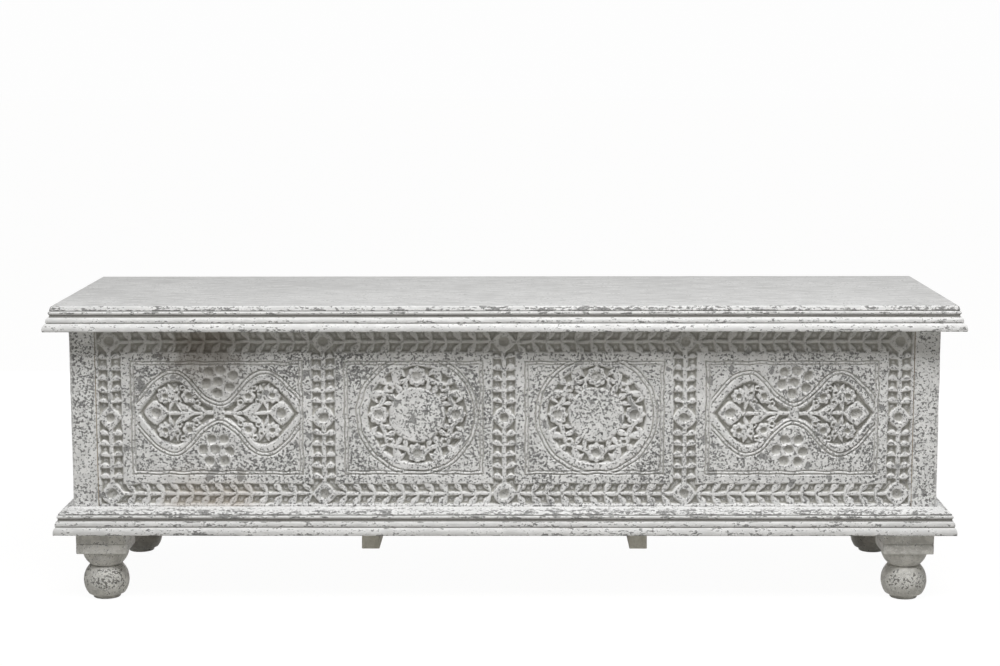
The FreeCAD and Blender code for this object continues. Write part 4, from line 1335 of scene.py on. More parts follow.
@dataclass
class Relief:
    """Depth of the carving below the board's face, over a grid.

    Attributes:
        x: Columns of the grid.
        z: Rows of the grid.
        wobble: How far hand carving strays from its drawing.
        depth: Depth at each place.
        worn: How worn the paint is at each place.
        across: Each place's x on the drawing.
        up: Each place's z on the drawing.
    """

    x: Array
    z: Array
    wobble: float = 0.7
    depth: Array = field(init=False)
    worn: Array = field(init=False)
    across: Array = field(init=False)
    up: Array = field(init=False)

    # Room round a form, depth under a flower's and a square flower's dish, and top of a square flower
    MARGIN = 4.0
    FLOWER_DISH = 4.3
    SQUARE_DISH = 5.2
    SQUARE_TOP = 0.3

    def __post_init__(self) -> None:
        """Start with a flat board and a slightly wandering drawing."""
        spots = np.stack(np.meshgrid(self.x, self.z), -1)
        self.depth, self.worn = np.zeros((2, *spots.shape[:2]))
        self.across, self.up = (spots[..., n] + waves(spots, 34, 3 + n) * self.wobble for n in (0, 1))

    def window(self, middle: Pair, reach: float) -> Part:
        """The part of the grid within reach of a place."""
        spans = zip((self.z, self.x), middle[::-1])
        return tuple(slice(*np.searchsorted(line, (at - reach, at + reach))) for line, at in spans)

    def about(self, middle: Pair, reach: float) -> tuple[Part, Array, Array]:
        """The part of the grid within reach of a place, and how far it lies across and up from there."""
        part = self.window(middle, reach)
        return part, self.across[part] - middle[0], self.up[part] - middle[1]

    def beside(self, start: Array, way: Array, reach: float) -> tuple[Part, Array, Array]:
        """Places about a straight line.

        Args:
            start: Its first end.
            way: From its first end to its last.
            reach: How far the places go past the line.

        Returns:
            The part of the grid, the share of the way, and the distance to the left of the line.
        """
        length = np.linalg.norm(way)
        part = self.window(start + way / 2, length / 2 + reach)
        a, b = self.across[part] - start[0], self.up[part] - start[1]
        return part, (a * way[0] + b * way[1]) / length**2, (b * way[0] - a * way[1]) / length

    def sink(self, apart: Array, depth: float, slope: float, part: Part = WHOLE) -> None:
        """Lower the inside of a form, where apart is negative, over a sloping wall."""
        self.depth[part] = np.maximum(self.depth[part], depth * (-apart / slope).clip(0, 1))

    def lift(self, apart: Array, level: Array | float, slope: float, part: Part) -> None:
        """Leave the inside of a form standing.

        Args:
            apart: Distance from the form's line, negative inside.
            level: Depth of its top.
            slope: Width of its sloping wall.
            part: The part of the grid that apart covers.
        """
        share = (-apart / slope).clip(0, 1)
        ground = self.depth[part]
        self.depth[part] = np.minimum(ground, ground * (1 - share) + level * share)

    def groove(self, apart: Array, width: float, depth: float, part: Part = WHOLE) -> None:
        """Cut a line of the given width and depth where apart is 0."""
        self.depth[part] += depth * (1 - np.abs(apart) / (width / 2)).clip(0, 1)

    def dish(self, middle: Pair, radius: float, depth: float, level: float = 0.0) -> None:
        """Hollow a round dish and leave the paint whole about it.

        Args:
            middle: Its middle.
            radius: Its radius.
            depth: Its depth.
            level: Depth of the surface that it is cut from.
        """
        part, a, b = self.about(middle, radius + self.MARGIN)
        away = np.hypot(a, b) / radius
        bowl = level + depth * (1 - away**2).clip(0, 1) ** 0.5
        self.depth[part] = np.where(away < 1, np.maximum(self.depth[part], bowl), self.depth[part])
        self.worn[part][away < 1.25] = 0.0

    def flower(self, middle: Pair, radius: float, dish: float, petals: int = 8, level: float = 0.3) -> None:
        """Leave a petalled flower standing, with a dished heart.

        Args:
            middle: Its middle.
            radius: Its outer radius.
            dish: Radius of the dish.
            petals: Number of petals.
            level: Depth of its top.
        """
        part, a, b = self.about(middle, radius + self.MARGIN)
        away, turn = np.hypot(a, b), np.arctan2(b, a)
        pull = 1 - 0.13 * (1 - np.cos(petals * turn)) / 2
        split = 0.7 * (np.abs(np.sin(petals * turn / 2)) > 0.93) * (away > dish * 1.25)
        self.lift(away - radius * pull, level + split, 2.2, part)
        self.dish(middle, dish, self.FLOWER_DISH, level)

    def diamond(self, middle: Pair, radius: float, dish: float) -> None:
        """Leave a square flower standing on its corner, with a dished heart.

        Args:
            middle: Its middle.
            radius: Reach of its corners.
            dish: Radius of the dish.
        """
        part, a, b = self.about(middle, radius + self.MARGIN)
        bulge = 1.35
        apart = ((np.abs(a) ** bulge + np.abs(b) ** bulge) ** (1 / bulge) - radius) * 0.85
        self.lift(apart, self.SQUARE_TOP, 2.6, part)
        self.dish(middle, dish, self.SQUARE_DISH, self.SQUARE_TOP)

    def leaf(self, root: Pair, tip: Pair, width: float, level: float = 0.4, bend: float = 0.0) -> None:
        """Leave a leaf or bud standing, widest past its middle, with a vein.

        Args:
            root: Where it springs from.
            tip: Where it ends.
            width: Its greatest width.
            level: Depth of its top.
            bend: Sideways bow of its middle.
        """
        start = np.array(root)
        stray = [float(waves(start[None], 9.0, seed)[0]) for seed in (11, 12, 13)]
        way = np.array(tip) + np.array(stray[:2]) * self.wobble - start
        width *= 1 + 0.12 * stray[2]
        part, u, v = self.beside(start, way, width + abs(bend) + 3)
        v -= bend * 4 * u * (1 - u)
        inside = u.clip(0, 1)
        taper = np.sqrt((1.04 - inside).clip(0, 1) / 0.35).clip(0, 1)
        half = width / 2 * (0.42 + 0.58 * np.sin(math.pi * inside**1.35)) * taper
        beyond = np.maximum(-u, u - 1).clip(0, None) * np.linalg.norm(way)
        vein = 0.7 * (1 - np.abs(v) / (width * 0.14)).clip(0, 1) * (inside > 0.3)
        dome = 2.4 * (np.abs(v) / np.maximum(half, 0.5)).clip(0, 1) ** 2
        self.lift(np.abs(v) - half + beyond, level + vein + dome, min(1.8, width * 0.2), part)

    def stem(self, start: Pair, end: Pair, width: float, level: float = 0.5) -> None:
        """Leave a straight stem standing.

        Args:
            start: One end.
            end: The other end.
            width: Its width.
            level: Depth of its top.
        """
        first = np.array(start)
        way = np.array(end) - first
        part, u, v = self.beside(first, way, width + 3)
        away = np.hypot((u - u.clip(0, 1)) * np.linalg.norm(way), v)
        self.lift(away - width / 2, level + 1.2 * (away * 2 / width).clip(0, 1) ** 2, 1.8, part)


@dataclass
class CarvedFront:
    """The carved board: vine borders round four panels of looped leaves and roundels.

    Attributes:
        reach: Half of the board's length between the posts.
        vine: Width of an upright border.
        border: Height of the top and bottom borders.
        ogee_length: Length of an outer panel.
        rim: Plain strip beside a border.
        ground: Depth of the borders' ground.
        recess: Depth of the panels' sunk parts.
        wall: Width of a sunk part's sloping wall.
        pad: How far the ground is left rounded.
        rebate: Depth of the floor's rebate in the back.
        grid: Distance between the carving's vertices.
        leaf_pitch: Distance between the leaves of a level border.
        column_pitch: Distance between the leaves of an upright border.
        clear: Room between a stem and the middle of a square flower.
        crossing: Radius and dish of a square flower where borders cross.
        line: Width and depth of a cut line.
        frame_lines: Inset and depth of the lines round a panel.
        roundel_lines: Radii of the lines round a roundel.
        disc: Radius of a roundel's disc.
        ring: Outer radius of a roundel's sunk ring.
        motifs: Middle of each panel's motif.
        grape: Radius and depth of a grape.
        grapes: Places of the grapes over and under a double loop's crossing.
        leaves: Root, tip, width, depth and bow of each leaf in half a lobe.
        blooms: Place, radius, dish, petals and depth of each flower in half a lobe.
        seams: Where the board's mesh is divided.
        relief: The part of the board that is being carved.
    """

    reach: float = 649.0
    vine: float = 43.0
    border: float = 40.0
    ogee_length: float = 297.0
    rim: float = 2.5
    ground: float = 6.0
    recess: float = 7.0
    wall: float = 4.0
    pad: float = 2.2
    rebate: float = 9.0
    grid: float = 1.1
    leaf_pitch: float = 23.0
    column_pitch: float = 17.8
    clear: float = 17.0
    crossing: Pair = (20.5, 8.4)
    line: Pair = (3.4, 2.6)
    frame_lines: tuple[Pair, ...] = ((12.0, 2.6), (17.0, 2.2))
    roundel_lines: Pair = (91.0, 97.0)
    disc: float = 43.0
    ring: float = 80.0
    motifs: tuple[Pair, ...] = ((-454.5, 305.0), (-138.5, 302.0), (147.0, 302.0), (460.0, 304.0))
    grape: Pair = (8.4, 5.4)
    grapes: tuple[Pair, ...] = (
        (-15.0, 66.0), (4.0, 69.0), (23.0, 61.0), (-19.0, 47.5), (0.0, 49.5), (18.5, 41.5), (-2.5, 31.5),
        (-12.5, -43.0), (7.5, -42.0), (-26.0, -59.0), (-6.5, -58.5), (16.0, -62.0), (-15.5, -77.0),
        (8.0, -77.5),
    )
    leaves: tuple[tuple[Pair, Pair, float, float, float], ...] = (
        ((20, 0), (44, 12), 11.0, 0.4, 2.0),
        ((40, 2), (64, 17), 13.0, 0.4, -2.5),
        ((60, 4), (64, 46), 13.0, 0.4, -6.0),
        ((78, 18), (80, 48), 12.0, 0.4, 3.0),
        ((78, 2), (70, 24), 9.0, 0.5, -2.0),
    )
    blooms: tuple[tuple[Pair, float, float, int, float], ...] = (
        ((86, 28), 14.5, 5.0, 8, 0.3),
        ((47, 27), 13.5, 6.0, 6, 0.3),
        ((67, 33), 7.5, 2.6, 5, 0.5),
        ((100, 14), 7.0, 2.4, 5, 0.6),
        ((35, 16), 7.5, 3.0, 5, 0.4),
        ((57, 40), 7.0, 2.8, 5, 0.5),
        ((63, 19), 6.5, 2.6, 5, 0.3),
    )
    seams: tuple[float, ...] = (-649.0, -316.0, -28.0, 316.0, 649.0)
    relief: Relief = field(init=False)

    def columns(self) -> list[float]:
        """Middles of the upright borders, from left to right.

        Returns:
            Their places along the board.
        """
        outer = self.reach - self.vine / 2
        inner = outer - self.vine - self.ogee_length
        return [-outer, -inner, 0.0, inner, outer]

    def panels(self) -> list[Pair]:
        """Middle and half length of each panel, from left to right."""
        lines = self.columns()
        return [((a + b) / 2, (b - a - self.vine) / 2) for a, b in zip(lines, lines[1:])]

    def levels(self) -> Triple:
        """Heights of the bottom border, the middle and the top border."""
        low, high = BENCH.base_top, BENCH.rim
        return low + self.border / 2, (low + high) / 2, high - self.border / 2

    def half_height(self) -> float:
        """Half the height of a panel."""
        return (BENCH.rim - BENCH.base_top) / 2 - self.border

    def outside(self, x: float, half: float, tall: float) -> Array:
        """Distance from a rectangle about the middle height, given by its half sizes; negative inside."""
        _, middle, _ = self.levels()
        return np.maximum(np.abs(self.relief.across - x) - half, np.abs(self.relief.up - middle) - tall)

    def carve(self) -> None:
        """Cut the whole drawing into the part of the board at hand."""
        self.carve_ground()
        self.carve_vines()
        for (x, half), motif in zip(self.panels(), self.motifs):
            if self.relief.x[-1] < x - half or self.relief.x[0] > x + half:
                continue
            self.carve_frame(x, half)
            if half > self.half_height() * 1.3:
                self.carve_ogee(motif, half)
            else:
                self.carve_roundel(motif)

    def carve_ground(self) -> None:
        """Sink the ground of the borders round the panels' frames."""
        tall = self.half_height() + self.border - self.rim
        apart = self.outside(0.0, self.reach - self.rim, tall)
        for x, half in self.panels():
            apart = np.maximum(apart, -self.outside(x, half + self.rim, self.half_height() + self.rim))
        self.relief.sink(apart, self.ground, 3.0)

    def carve_vines(self) -> None:
        """Leave the stems, leaves and flowers of the borders standing."""
        low, middle, high = self.levels()
        lines = self.columns()
        for z in (low, high):
            for left, right in zip(lines, lines[1:]):
                ends = (left + self.clear, right - self.clear)
                self.carve_spray_along(ends, z, -1.0 if right <= 0 else 1.0)
        for x in lines:
            for bottom, top in ((low, middle), (middle, high)):
                self.carve_spray_up((bottom + self.clear, top - self.clear), x)
            for z in (low, middle, high):
                self.relief.diamond((x, z), *self.crossing)

    def pitches(self, ends: Pair, wanted: float, share: float) -> Array:
        """Even places along a stem, about as far apart as wanted, each a share into its pitch."""
        count = round((ends[1] - ends[0]) / wanted)
        return ends[0] + (ends[1] - ends[0]) / count * (np.arange(count) + share)

    def carve_spray_along(self, ends: Pair, z: float, hand: float) -> None:
        """A level stem with a leaf above and below at each pitch.

        Args:
            ends: Where the stem starts and ends.
            z: Height of the stem.
            hand: Side to which the leaves lean, -1 for left.
        """
        self.relief.stem((ends[0], z), (ends[1], z), 8.0)
        rise = self.border / 2 - self.rim + 0.8
        for x in self.pitches(ends, self.leaf_pitch, 0.5 - hand * 0.22):
            for side in (-1, 1):
                root, tip = (x - hand * 2.0, z + side * 0.5), (x + hand * 12.0, z + side * rise)
                self.relief.leaf(root, tip, 13.5, 0.3, hand * side * 2.0)

    def carve_spray_up(self, ends: Pair, x: float) -> None:
        """An upright stem with a pair of leaves at each pitch.

        Args:
            ends: Heights of its foot and its head.
            x: Place of the stem.
        """
        self.relief.stem((x, ends[0] - 4), (x, ends[1] + 4), 9.5)
        out = self.vine / 2 - self.rim + 1.5
        for z in self.pitches(ends, self.column_pitch, 0.36):
            for side in (-1, 1):
                self.relief.leaf((x + side, z), (x + side * out, z + 3.8), 11.6, 0.3, side * 3.0)

    def carve_frame(self, x: float, half: float) -> None:
        """Two cut lines round a panel, and worn paint within.

        Args:
            x: Middle of the panel.
            half: Half its length.
        """
        for inset, depth in self.frame_lines:
            apart = self.outside(x, half - inset, self.half_height() - inset)
            self.relief.groove(apart, self.line[0], depth)
        within = apart < -1.5
        self.relief.worn[within] = 0.3 - 0.15 * self.relief.across[within] / self.reach

    def carve_roundel(self, middle: Pair) -> None:
        """A plain disc in a sunk ring with flowers, leaves and two outer lines.

        Args:
            middle: Middle of the roundel.
        """
        relief, disc, ring = self.relief, self.disc, self.ring
        mid = (disc + ring) / 2
        part, a, b = relief.about(middle, 125.0)
        away = np.hypot(a, b)
        inside = np.abs(relief.up[part] - self.levels()[1]) < self.half_height() - self.frame_lines[0][0]
        for radius in self.roundel_lines:
            relief.groove(np.where(inside, away - radius, np.inf), *self.line, part)
        relief.worn[part][away < self.roundel_lines[-1] + 1.5] = 0.0
        relief.sink(np.maximum(away - ring, disc - away), self.recess, self.wall, part)
        wander = 3.0 * np.cos(8 * np.arctan2(b, a))
        relief.lift(np.abs(away - mid - wander) - 5.4, 0.6, 2.4, part)
        for quarter in range(4):
            turn = math.pi / 2 * quarter

            def spot(degrees: float, out: float) -> Pair:
                """A place in this quarter of the ring."""
                angle = turn + math.radians(degrees)
                return middle[0] + out * math.cos(angle), middle[1] + out * math.sin(angle)

            for degrees, lean in ((29, -7), (61, 7)):
                relief.leaf(spot(degrees - lean, mid), spot(degrees + lean, ring + 2), 16.0, 0.2)
            relief.leaf(spot(45, mid + 6), spot(45, ring + 2), 13.0, 0.2)
            for degrees, lean in ((34, 3.2), (56, -3.2)):
                relief.leaf(spot(degrees, mid), spot(degrees + lean, disc - 2), 13.0, 0.2)
            for degrees in (17, 73):
                relief.leaf(spot(degrees, mid + 4), spot(degrees * 0.8 + 9, ring + 1), 11.0, 0.4)
                relief.leaf(spot(degrees, mid - 4), spot(degrees * 0.6 + 18, disc), 10.0, 0.4)
            relief.flower(spot(45, mid), 9.5, 3.4, petals=6, level=0.4)
            relief.flower(spot(0, mid), 17.5, 8.4)

    def loop_line(self, across: Array) -> tuple[Array, Array]:
        """Half height of the double loop's outer line, and its slope.

        Args:
            across: Distance from the crossing.

        Returns:
            The half height and its slope at each place.
        """
        peak, waist, crest, end = 69.5, 18.0, 71.0, 137.0
        near = np.abs(across)
        swing = (peak - waist) / 2
        inner = waist + swing * (1 - np.cos(math.pi * near / crest))
        inner_slope = swing * math.pi / crest * np.sin(math.pi * near / crest)
        turn = ((near - crest) / (end - crest)).clip(0, 1.2) * math.pi / 2
        fall = peak - 16.0
        outer = peak - fall * (1 - np.cos(turn))
        outer_slope = -fall * math.pi / 2 / (end - crest) * np.sin(turn)
        return np.where(near < crest, inner, outer), np.where(near < crest, inner_slope, outer_slope)

    def carve_ogee(self, middle: Pair, half: float) -> None:
        """A double loop with sunk, leafy lobes and dished grapes over and under its waist.

        Args:
            middle: Place of the crossing.
            half: Half the panel's length.
        """
        relief = self.relief
        part, a, b = relief.about(middle, half)
        line, slope = self.loop_line(a)
        apart = (np.abs(b) - line) / np.sqrt(1 + slope**2)
        framed = np.abs(a) < half - 18.5
        for shift in (0.0, 5.6):
            relief.groove(np.where(framed, apart + shift, np.inf), *self.line, part)
        relief.worn[part][apart < 1.5] = 0.0
        band = 9.0 + 7.0 * ((np.abs(a) - 25) / 45).clip(0, 1)
        relief.sink(np.maximum(apart + band, 7.0 - np.abs(a)), self.recess, self.wall, part)
        for hand in (-1, 1):
            self.carve_lobe(middle, hand)
        for place in self.grapes:
            relief.dish(np.add(middle, place), *self.grape)

    def carve_lobe(self, middle: Pair, hand: int) -> None:
        """The foliage of one lobe: a stem, a square flower at the tip, leaves and round blooms.

        Args:
            middle: Place of the crossing.
            hand: -1 for the left lobe, 1 for the right.
        """

        def spot(out: float, rise: float) -> Pair:
            """A place in the lobe, out from the crossing."""
            return middle[0] + hand * out, middle[1] + rise

        self.relief.stem(spot(6, 0), spot(88, 0), 8.0, 0.5)
        for side in (-1, 1):
            for root, tip, width, level, bow in self.leaves:
                ends = (spot(out, side * rise) for out, rise in (root, tip))
                self.relief.leaf(*ends, width, level, side * hand * bow)
            for (out, rise), *form in self.blooms:
                self.relief.flower(spot(out, side * rise), *form)
        self.relief.diamond(spot(100, 0), 21.0, 9.0)

    @staticmethod
    def blurred(values: Array, reach: int) -> Array:
        """Mean of a grid over a square of neighbours, twice over.

        Args:
            values: The grid.
            reach: Neighbours on each side.

        Returns:
            The smoothed grid.
        """
        for _ in range(2):
            for axis in (0, 1):
                pad = [(reach + 1, reach) if number == axis else (0, 0) for number in (0, 1)]
                total = np.cumsum(np.pad(values, pad, mode="edge"), axis)
                size = values.shape[axis]
                late = np.take(total, range(2 * reach + 1, 2 * reach + 1 + size), axis)
                values = (late - np.take(total, range(size), axis)) / (2 * reach + 1)
        return values

    def padded(self) -> Array:
        """Leave the ground between the leaves slightly rounded, as the gouge leaves it.

        Returns:
            The relief's depth with rounded ground.
        """
        depth = self.relief.depth
        open_ground = self.blurred((depth > self.ground - 1.0).astype(float), 3)
        return depth - self.pad * ((open_ground - 0.6) / 0.4).clip(0, 1)

    def board(self, left: float, right: float) -> Shape:
        """One part of the board between two upright seams.

        Args:
            left: Its left end.
            right: Its right end.

        Returns:
            The closed shape, carved in front and bare behind.
        """
        foot = BENCH.base_top - 3
        x = np.linspace(left, right, int((right - left) / self.grid) + 1)
        fine = np.linspace(foot, BENCH.rim, int((BENCH.rim - foot) / self.grid) + 1)
        z = np.concatenate([[BENCH.base, BENCH.base + 20], fine])
        relief = self.relief = Relief(x, z)
        self.carve()
        depth = self.padded()
        # Raised forms count as arrises, whose paint is paled partly as painted highlight.
        ridge = ((self.blurred(depth, 2) - depth - 0.35) / 1.1).clip(0, 1)
        # Creases beside raised forms are darkened through hollow, as painted shade and dirt.
        cavity = ((depth - self.blurred(depth, 3) - 0.3) / 1.1).clip(0, 1)
        # Painted shadow of the lid's overhang: the top border is darkened at half strength, fading out at its
        # foot.
        lid_overhang_shade = ((relief.up - BENCH.rim + self.border) / 12.0).clip(0, 1) * 0.5
        # The deep ground is darkened a little too, as painted shade and dirt.
        hollow = np.maximum(cavity, ((depth - 1.4) / 3.6).clip(0, 1) * 0.18) + lid_overhang_shade
        spots = np.stack([relief.across, relief.up], -1)
        chiselled = 0.16 * waves(spots, 8, 9) * (depth / self.ground).clip(0, 1)
        y = BENCH.front + depth + 0.15 + 0.15 * waves(spots, 90, 8) + chiselled
        front = np.stack(np.broadcast_arrays(x, y, z[:, None]), -1)
        return self.closed(front, ridge, hollow, self.blurred(relief.worn, 2))

    def closed(self, front: Array, *marks: Array) -> Shape:
        """Give a carved face its back, its ends and its rebate for the floor.

        Args:
            front: Vertices of the carved face, as a grid.
            marks: Exposure, shelter and wear of its vertices.

        Returns:
            The closed shape.
        """
        tall, wide, _ = front.shape
        back = BENCH.front + BENCH.front_thickness
        rebate = back - self.rebate
        path = ((rebate, BENCH.base), (rebate, BENCH.floor_top), (back, BENCH.floor_top), (back, BENCH.rim))
        rear = [(end, y, z) for end in front[0, (0, -1), 0] for y, z in path]
        numbers = np.arange(tall * wide).reshape(tall, wide)
        a, b = (numbers.size + np.arange(8)).reshape(2, 4).tolist()
        ends = [
            numbers[0, ::-1].tolist() + [a[0], b[0]],
            numbers[-1].tolist() + [b[3], a[3]],
            numbers[:, 0].tolist() + a[::-1],
            numbers[::-1, -1].tolist() + b,
        ]
        inside = [(a[n], a[n + 1], b[n + 1], b[n]) for n in range(3)]
        faces = quads(tall, wide, closed=False) + [tuple(end) for end in ends]
        bare = {len(faces) + number: 1 for number in range(len(inside))}
        edge, hollow, worn = (np.concatenate([mark.ravel(), np.zeros(len(rear))]) for mark in marks)
        return Shape(np.vstack([front.reshape(-1, 3), rear]), faces + inside, edge, hollow, bare, worn)

    def build(self) -> None:
        """Make the board in parts small enough to keep every face."""
        materials = (CARVED.material(Grain.UPRIGHT), INSIDE.material(Grain.ALONG))
        names = ("left_loop", "left_roundel", "right_roundel", "right_loop")
        for name, left, right in zip(names, self.seams, self.seams[1:]):
            shape = self.board(left, right)
            JOINERY.place(f"carving_{name}", shape, ["front_panel"], Body.CARCASS, Slot.CARVED, materials)


@dataclass
class Carcass:
    """Corner posts, end panels, back, floor, bearers and foot blocks.

    Attributes:
        step: Distance between vertices on the posts and end boards.
        rebate: Depth of the end panels' rebate for the floor.
        back_face: Where the back board's inner face ends and its paint starts.
        tongue_show: How far the back board's tongues stand over the tops of the rear posts.
        corners: Names of the four corners.
    """

    step: float = 18.0
    rebate: float = 9.0
    back_face: float = 186.0
    tongue_show: float = 0.2
    corners: tuple[str, ...] = ("front_left", "front_right", "back_left", "back_right")

    def build(self) -> None:
        """Make the visible boards and dress the rest."""
        self.build_posts()
        self.build_ends()
        self.build_blocks()
        for place in ("front", "middle", "back"):
            JOINERY.dress(f"floor_board_{place}", INSIDE.material(Grain.ALONG))
        JOINERY.dress("foot_pegs", INSIDE.material(Grain.UPRIGHT), 0.0)
        JOINERY.dress("back_panel", BOARDS.material(Grain.ALONG, INSIDE, self.back_face * MM))

    def limits(self, node: str) -> tuple[list[float], list[float]]:
        """Lowest and highest corner of a node in millimetres."""
        low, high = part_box(node)
        return [value / MM for value in low], [value / MM for value in high]

    def build_posts(self) -> None:
        """Make the four corner posts with worn arrises, bare on their inner faces."""
        materials = (PLAIN.material(Grain.UPRIGHT), INSIDE.material(Grain.UPRIGHT))
        middle, half = (BENCH.front + BENCH.back) / 2, (BENCH.back - BENCH.front) / 2
        inner_x, inner_y = (span - BENCH.post + 1 for span in (BENCH.body_end, half))
        for number, place in enumerate(self.corners):
            node = f"corner_post_{place}"
            low, high = self.limits(node)
            high[2] -= self.tongue_show if place.startswith("back") else 0.0
            shape = RingSolid.plain(low, high, self.step).shape(20 + number)
            x, y, _ = np.abs(shape.middles() - (0.0, middle, 0.0)).T
            shape.bare((x < inner_x) | (y < inner_y))
            JOINERY.place(f"post_{place}", shape, [node], Body.CARCASS, Slot.PAINT, materials)

    def build_ends(self) -> None:
        """Make the end panels with their rebate for the floor, painted outside and bare inside."""
        materials = (BOARDS.material(Grain.ACROSS), INSIDE.material(Grain.ACROSS))
        front, back = BENCH.front + BENCH.post, BENCH.back - BENCH.post
        inner = BENCH.body_end - BENCH.end_thickness
        heights = np.linspace(BENCH.floor_top, BENCH.rim, int((BENCH.rim - BENCH.floor_top) // self.step))
        rows = [(-self.rebate, BENCH.base), (-self.rebate, BENCH.floor_top)]
        section = np.array(rows + [(0.0, height) for height in heights])
        edge, hollow = np.zeros((2, len(section)))
        edge[-1] = 0.8
        for number, (name, hand) in enumerate((("left", -1), ("right", 1))):
            sides = sorted((BENCH.body_end * hand, inner * hand))
            low, high = zip(sides, (front, back))
            moulded = (hand > 0, hand < 0, False, False)
            solid = RingSolid(low, high, section, edge, hollow, moulded, 0.8, self.step, 0.2)
            shape = solid.shape(30 + number)
            shape.bare(shape.middles()[:, 0] * hand < inner + self.rebate + 0.5)
            node = f"end_panel_{name}"
            JOINERY.place(f"end_board_{name}", shape, [node], Body.CARCASS, Slot.PAINT, materials)

    def build_blocks(self) -> None:
        """Make the square blocks over the feet and the bearers under the floor."""
        paint, wood = TURNED.material(Grain.ALONG), BEARER_WOOD_LIGHTENED.material(Grain.ACROSS)
        for number, place in enumerate(self.corners):
            node = f"foot_block_{place}"
            shape = RingSolid.plain(*self.limits(node), 12.0, uneven=0.15).shape(40 + number)
            JOINERY.place(f"block_{place}", shape, [node], Body.CARCASS, Slot.PAINT, (paint,))
        for number, node in enumerate(("bearer_left", "bearer_right")):
            shape = RingSolid.plain(*self.limits(node), 20.0).shape(50 + number)
            JOINERY.place(f"{node}_bar", shape, [node], Body.CARCASS, Slot.WOOD, (wood,))


@dataclass(frozen=True)
class Profile:
    """The sizes in which the lid's and the base's mouldings differ.

    Attributes:
        bottom: Lowest height.
        out: How far the lower band stands out.
        step: How far the upper band stands back from it.
        bead: How far the bead stands back from it.
        curve: Radius of the bands, as a share of their height.
        arris: Reach and drop of the arris under the top.
        rows: Height, half width and strength of each row of chips.
    """

    bottom: float
    out: float
    step: float
    bead: float
    curve: float
    arris: Pair
    rows: tuple[Triple, ...]

    def crest(self) -> float:
        """How far the bead stands out."""
        return self.out - self.bead


LID_PROFILE = Profile(
    bottom=BENCH.rim,
    out=35.0,
    step=5.2,
    bead=8.4,
    curve=0.9,
    arris=(23.2, 1.6),
    rows=((448.3, 2.2, 0.5), (454.2, 1.8, 0.55), (441.0, 1.6, 0.4)),
)
BASE_PROFILE = Profile(
    bottom=BENCH.base,
    out=29.0,
    step=3.0,
    bead=5.6,
    curve=1.15,
    arris=(17.5, 4.4),
    rows=((113.4, 2.0, 0.6), (120.3, 2.2, 0.55), (126.5, 1.8, 0.55), (147.6, 5.4, 2.1)),
)


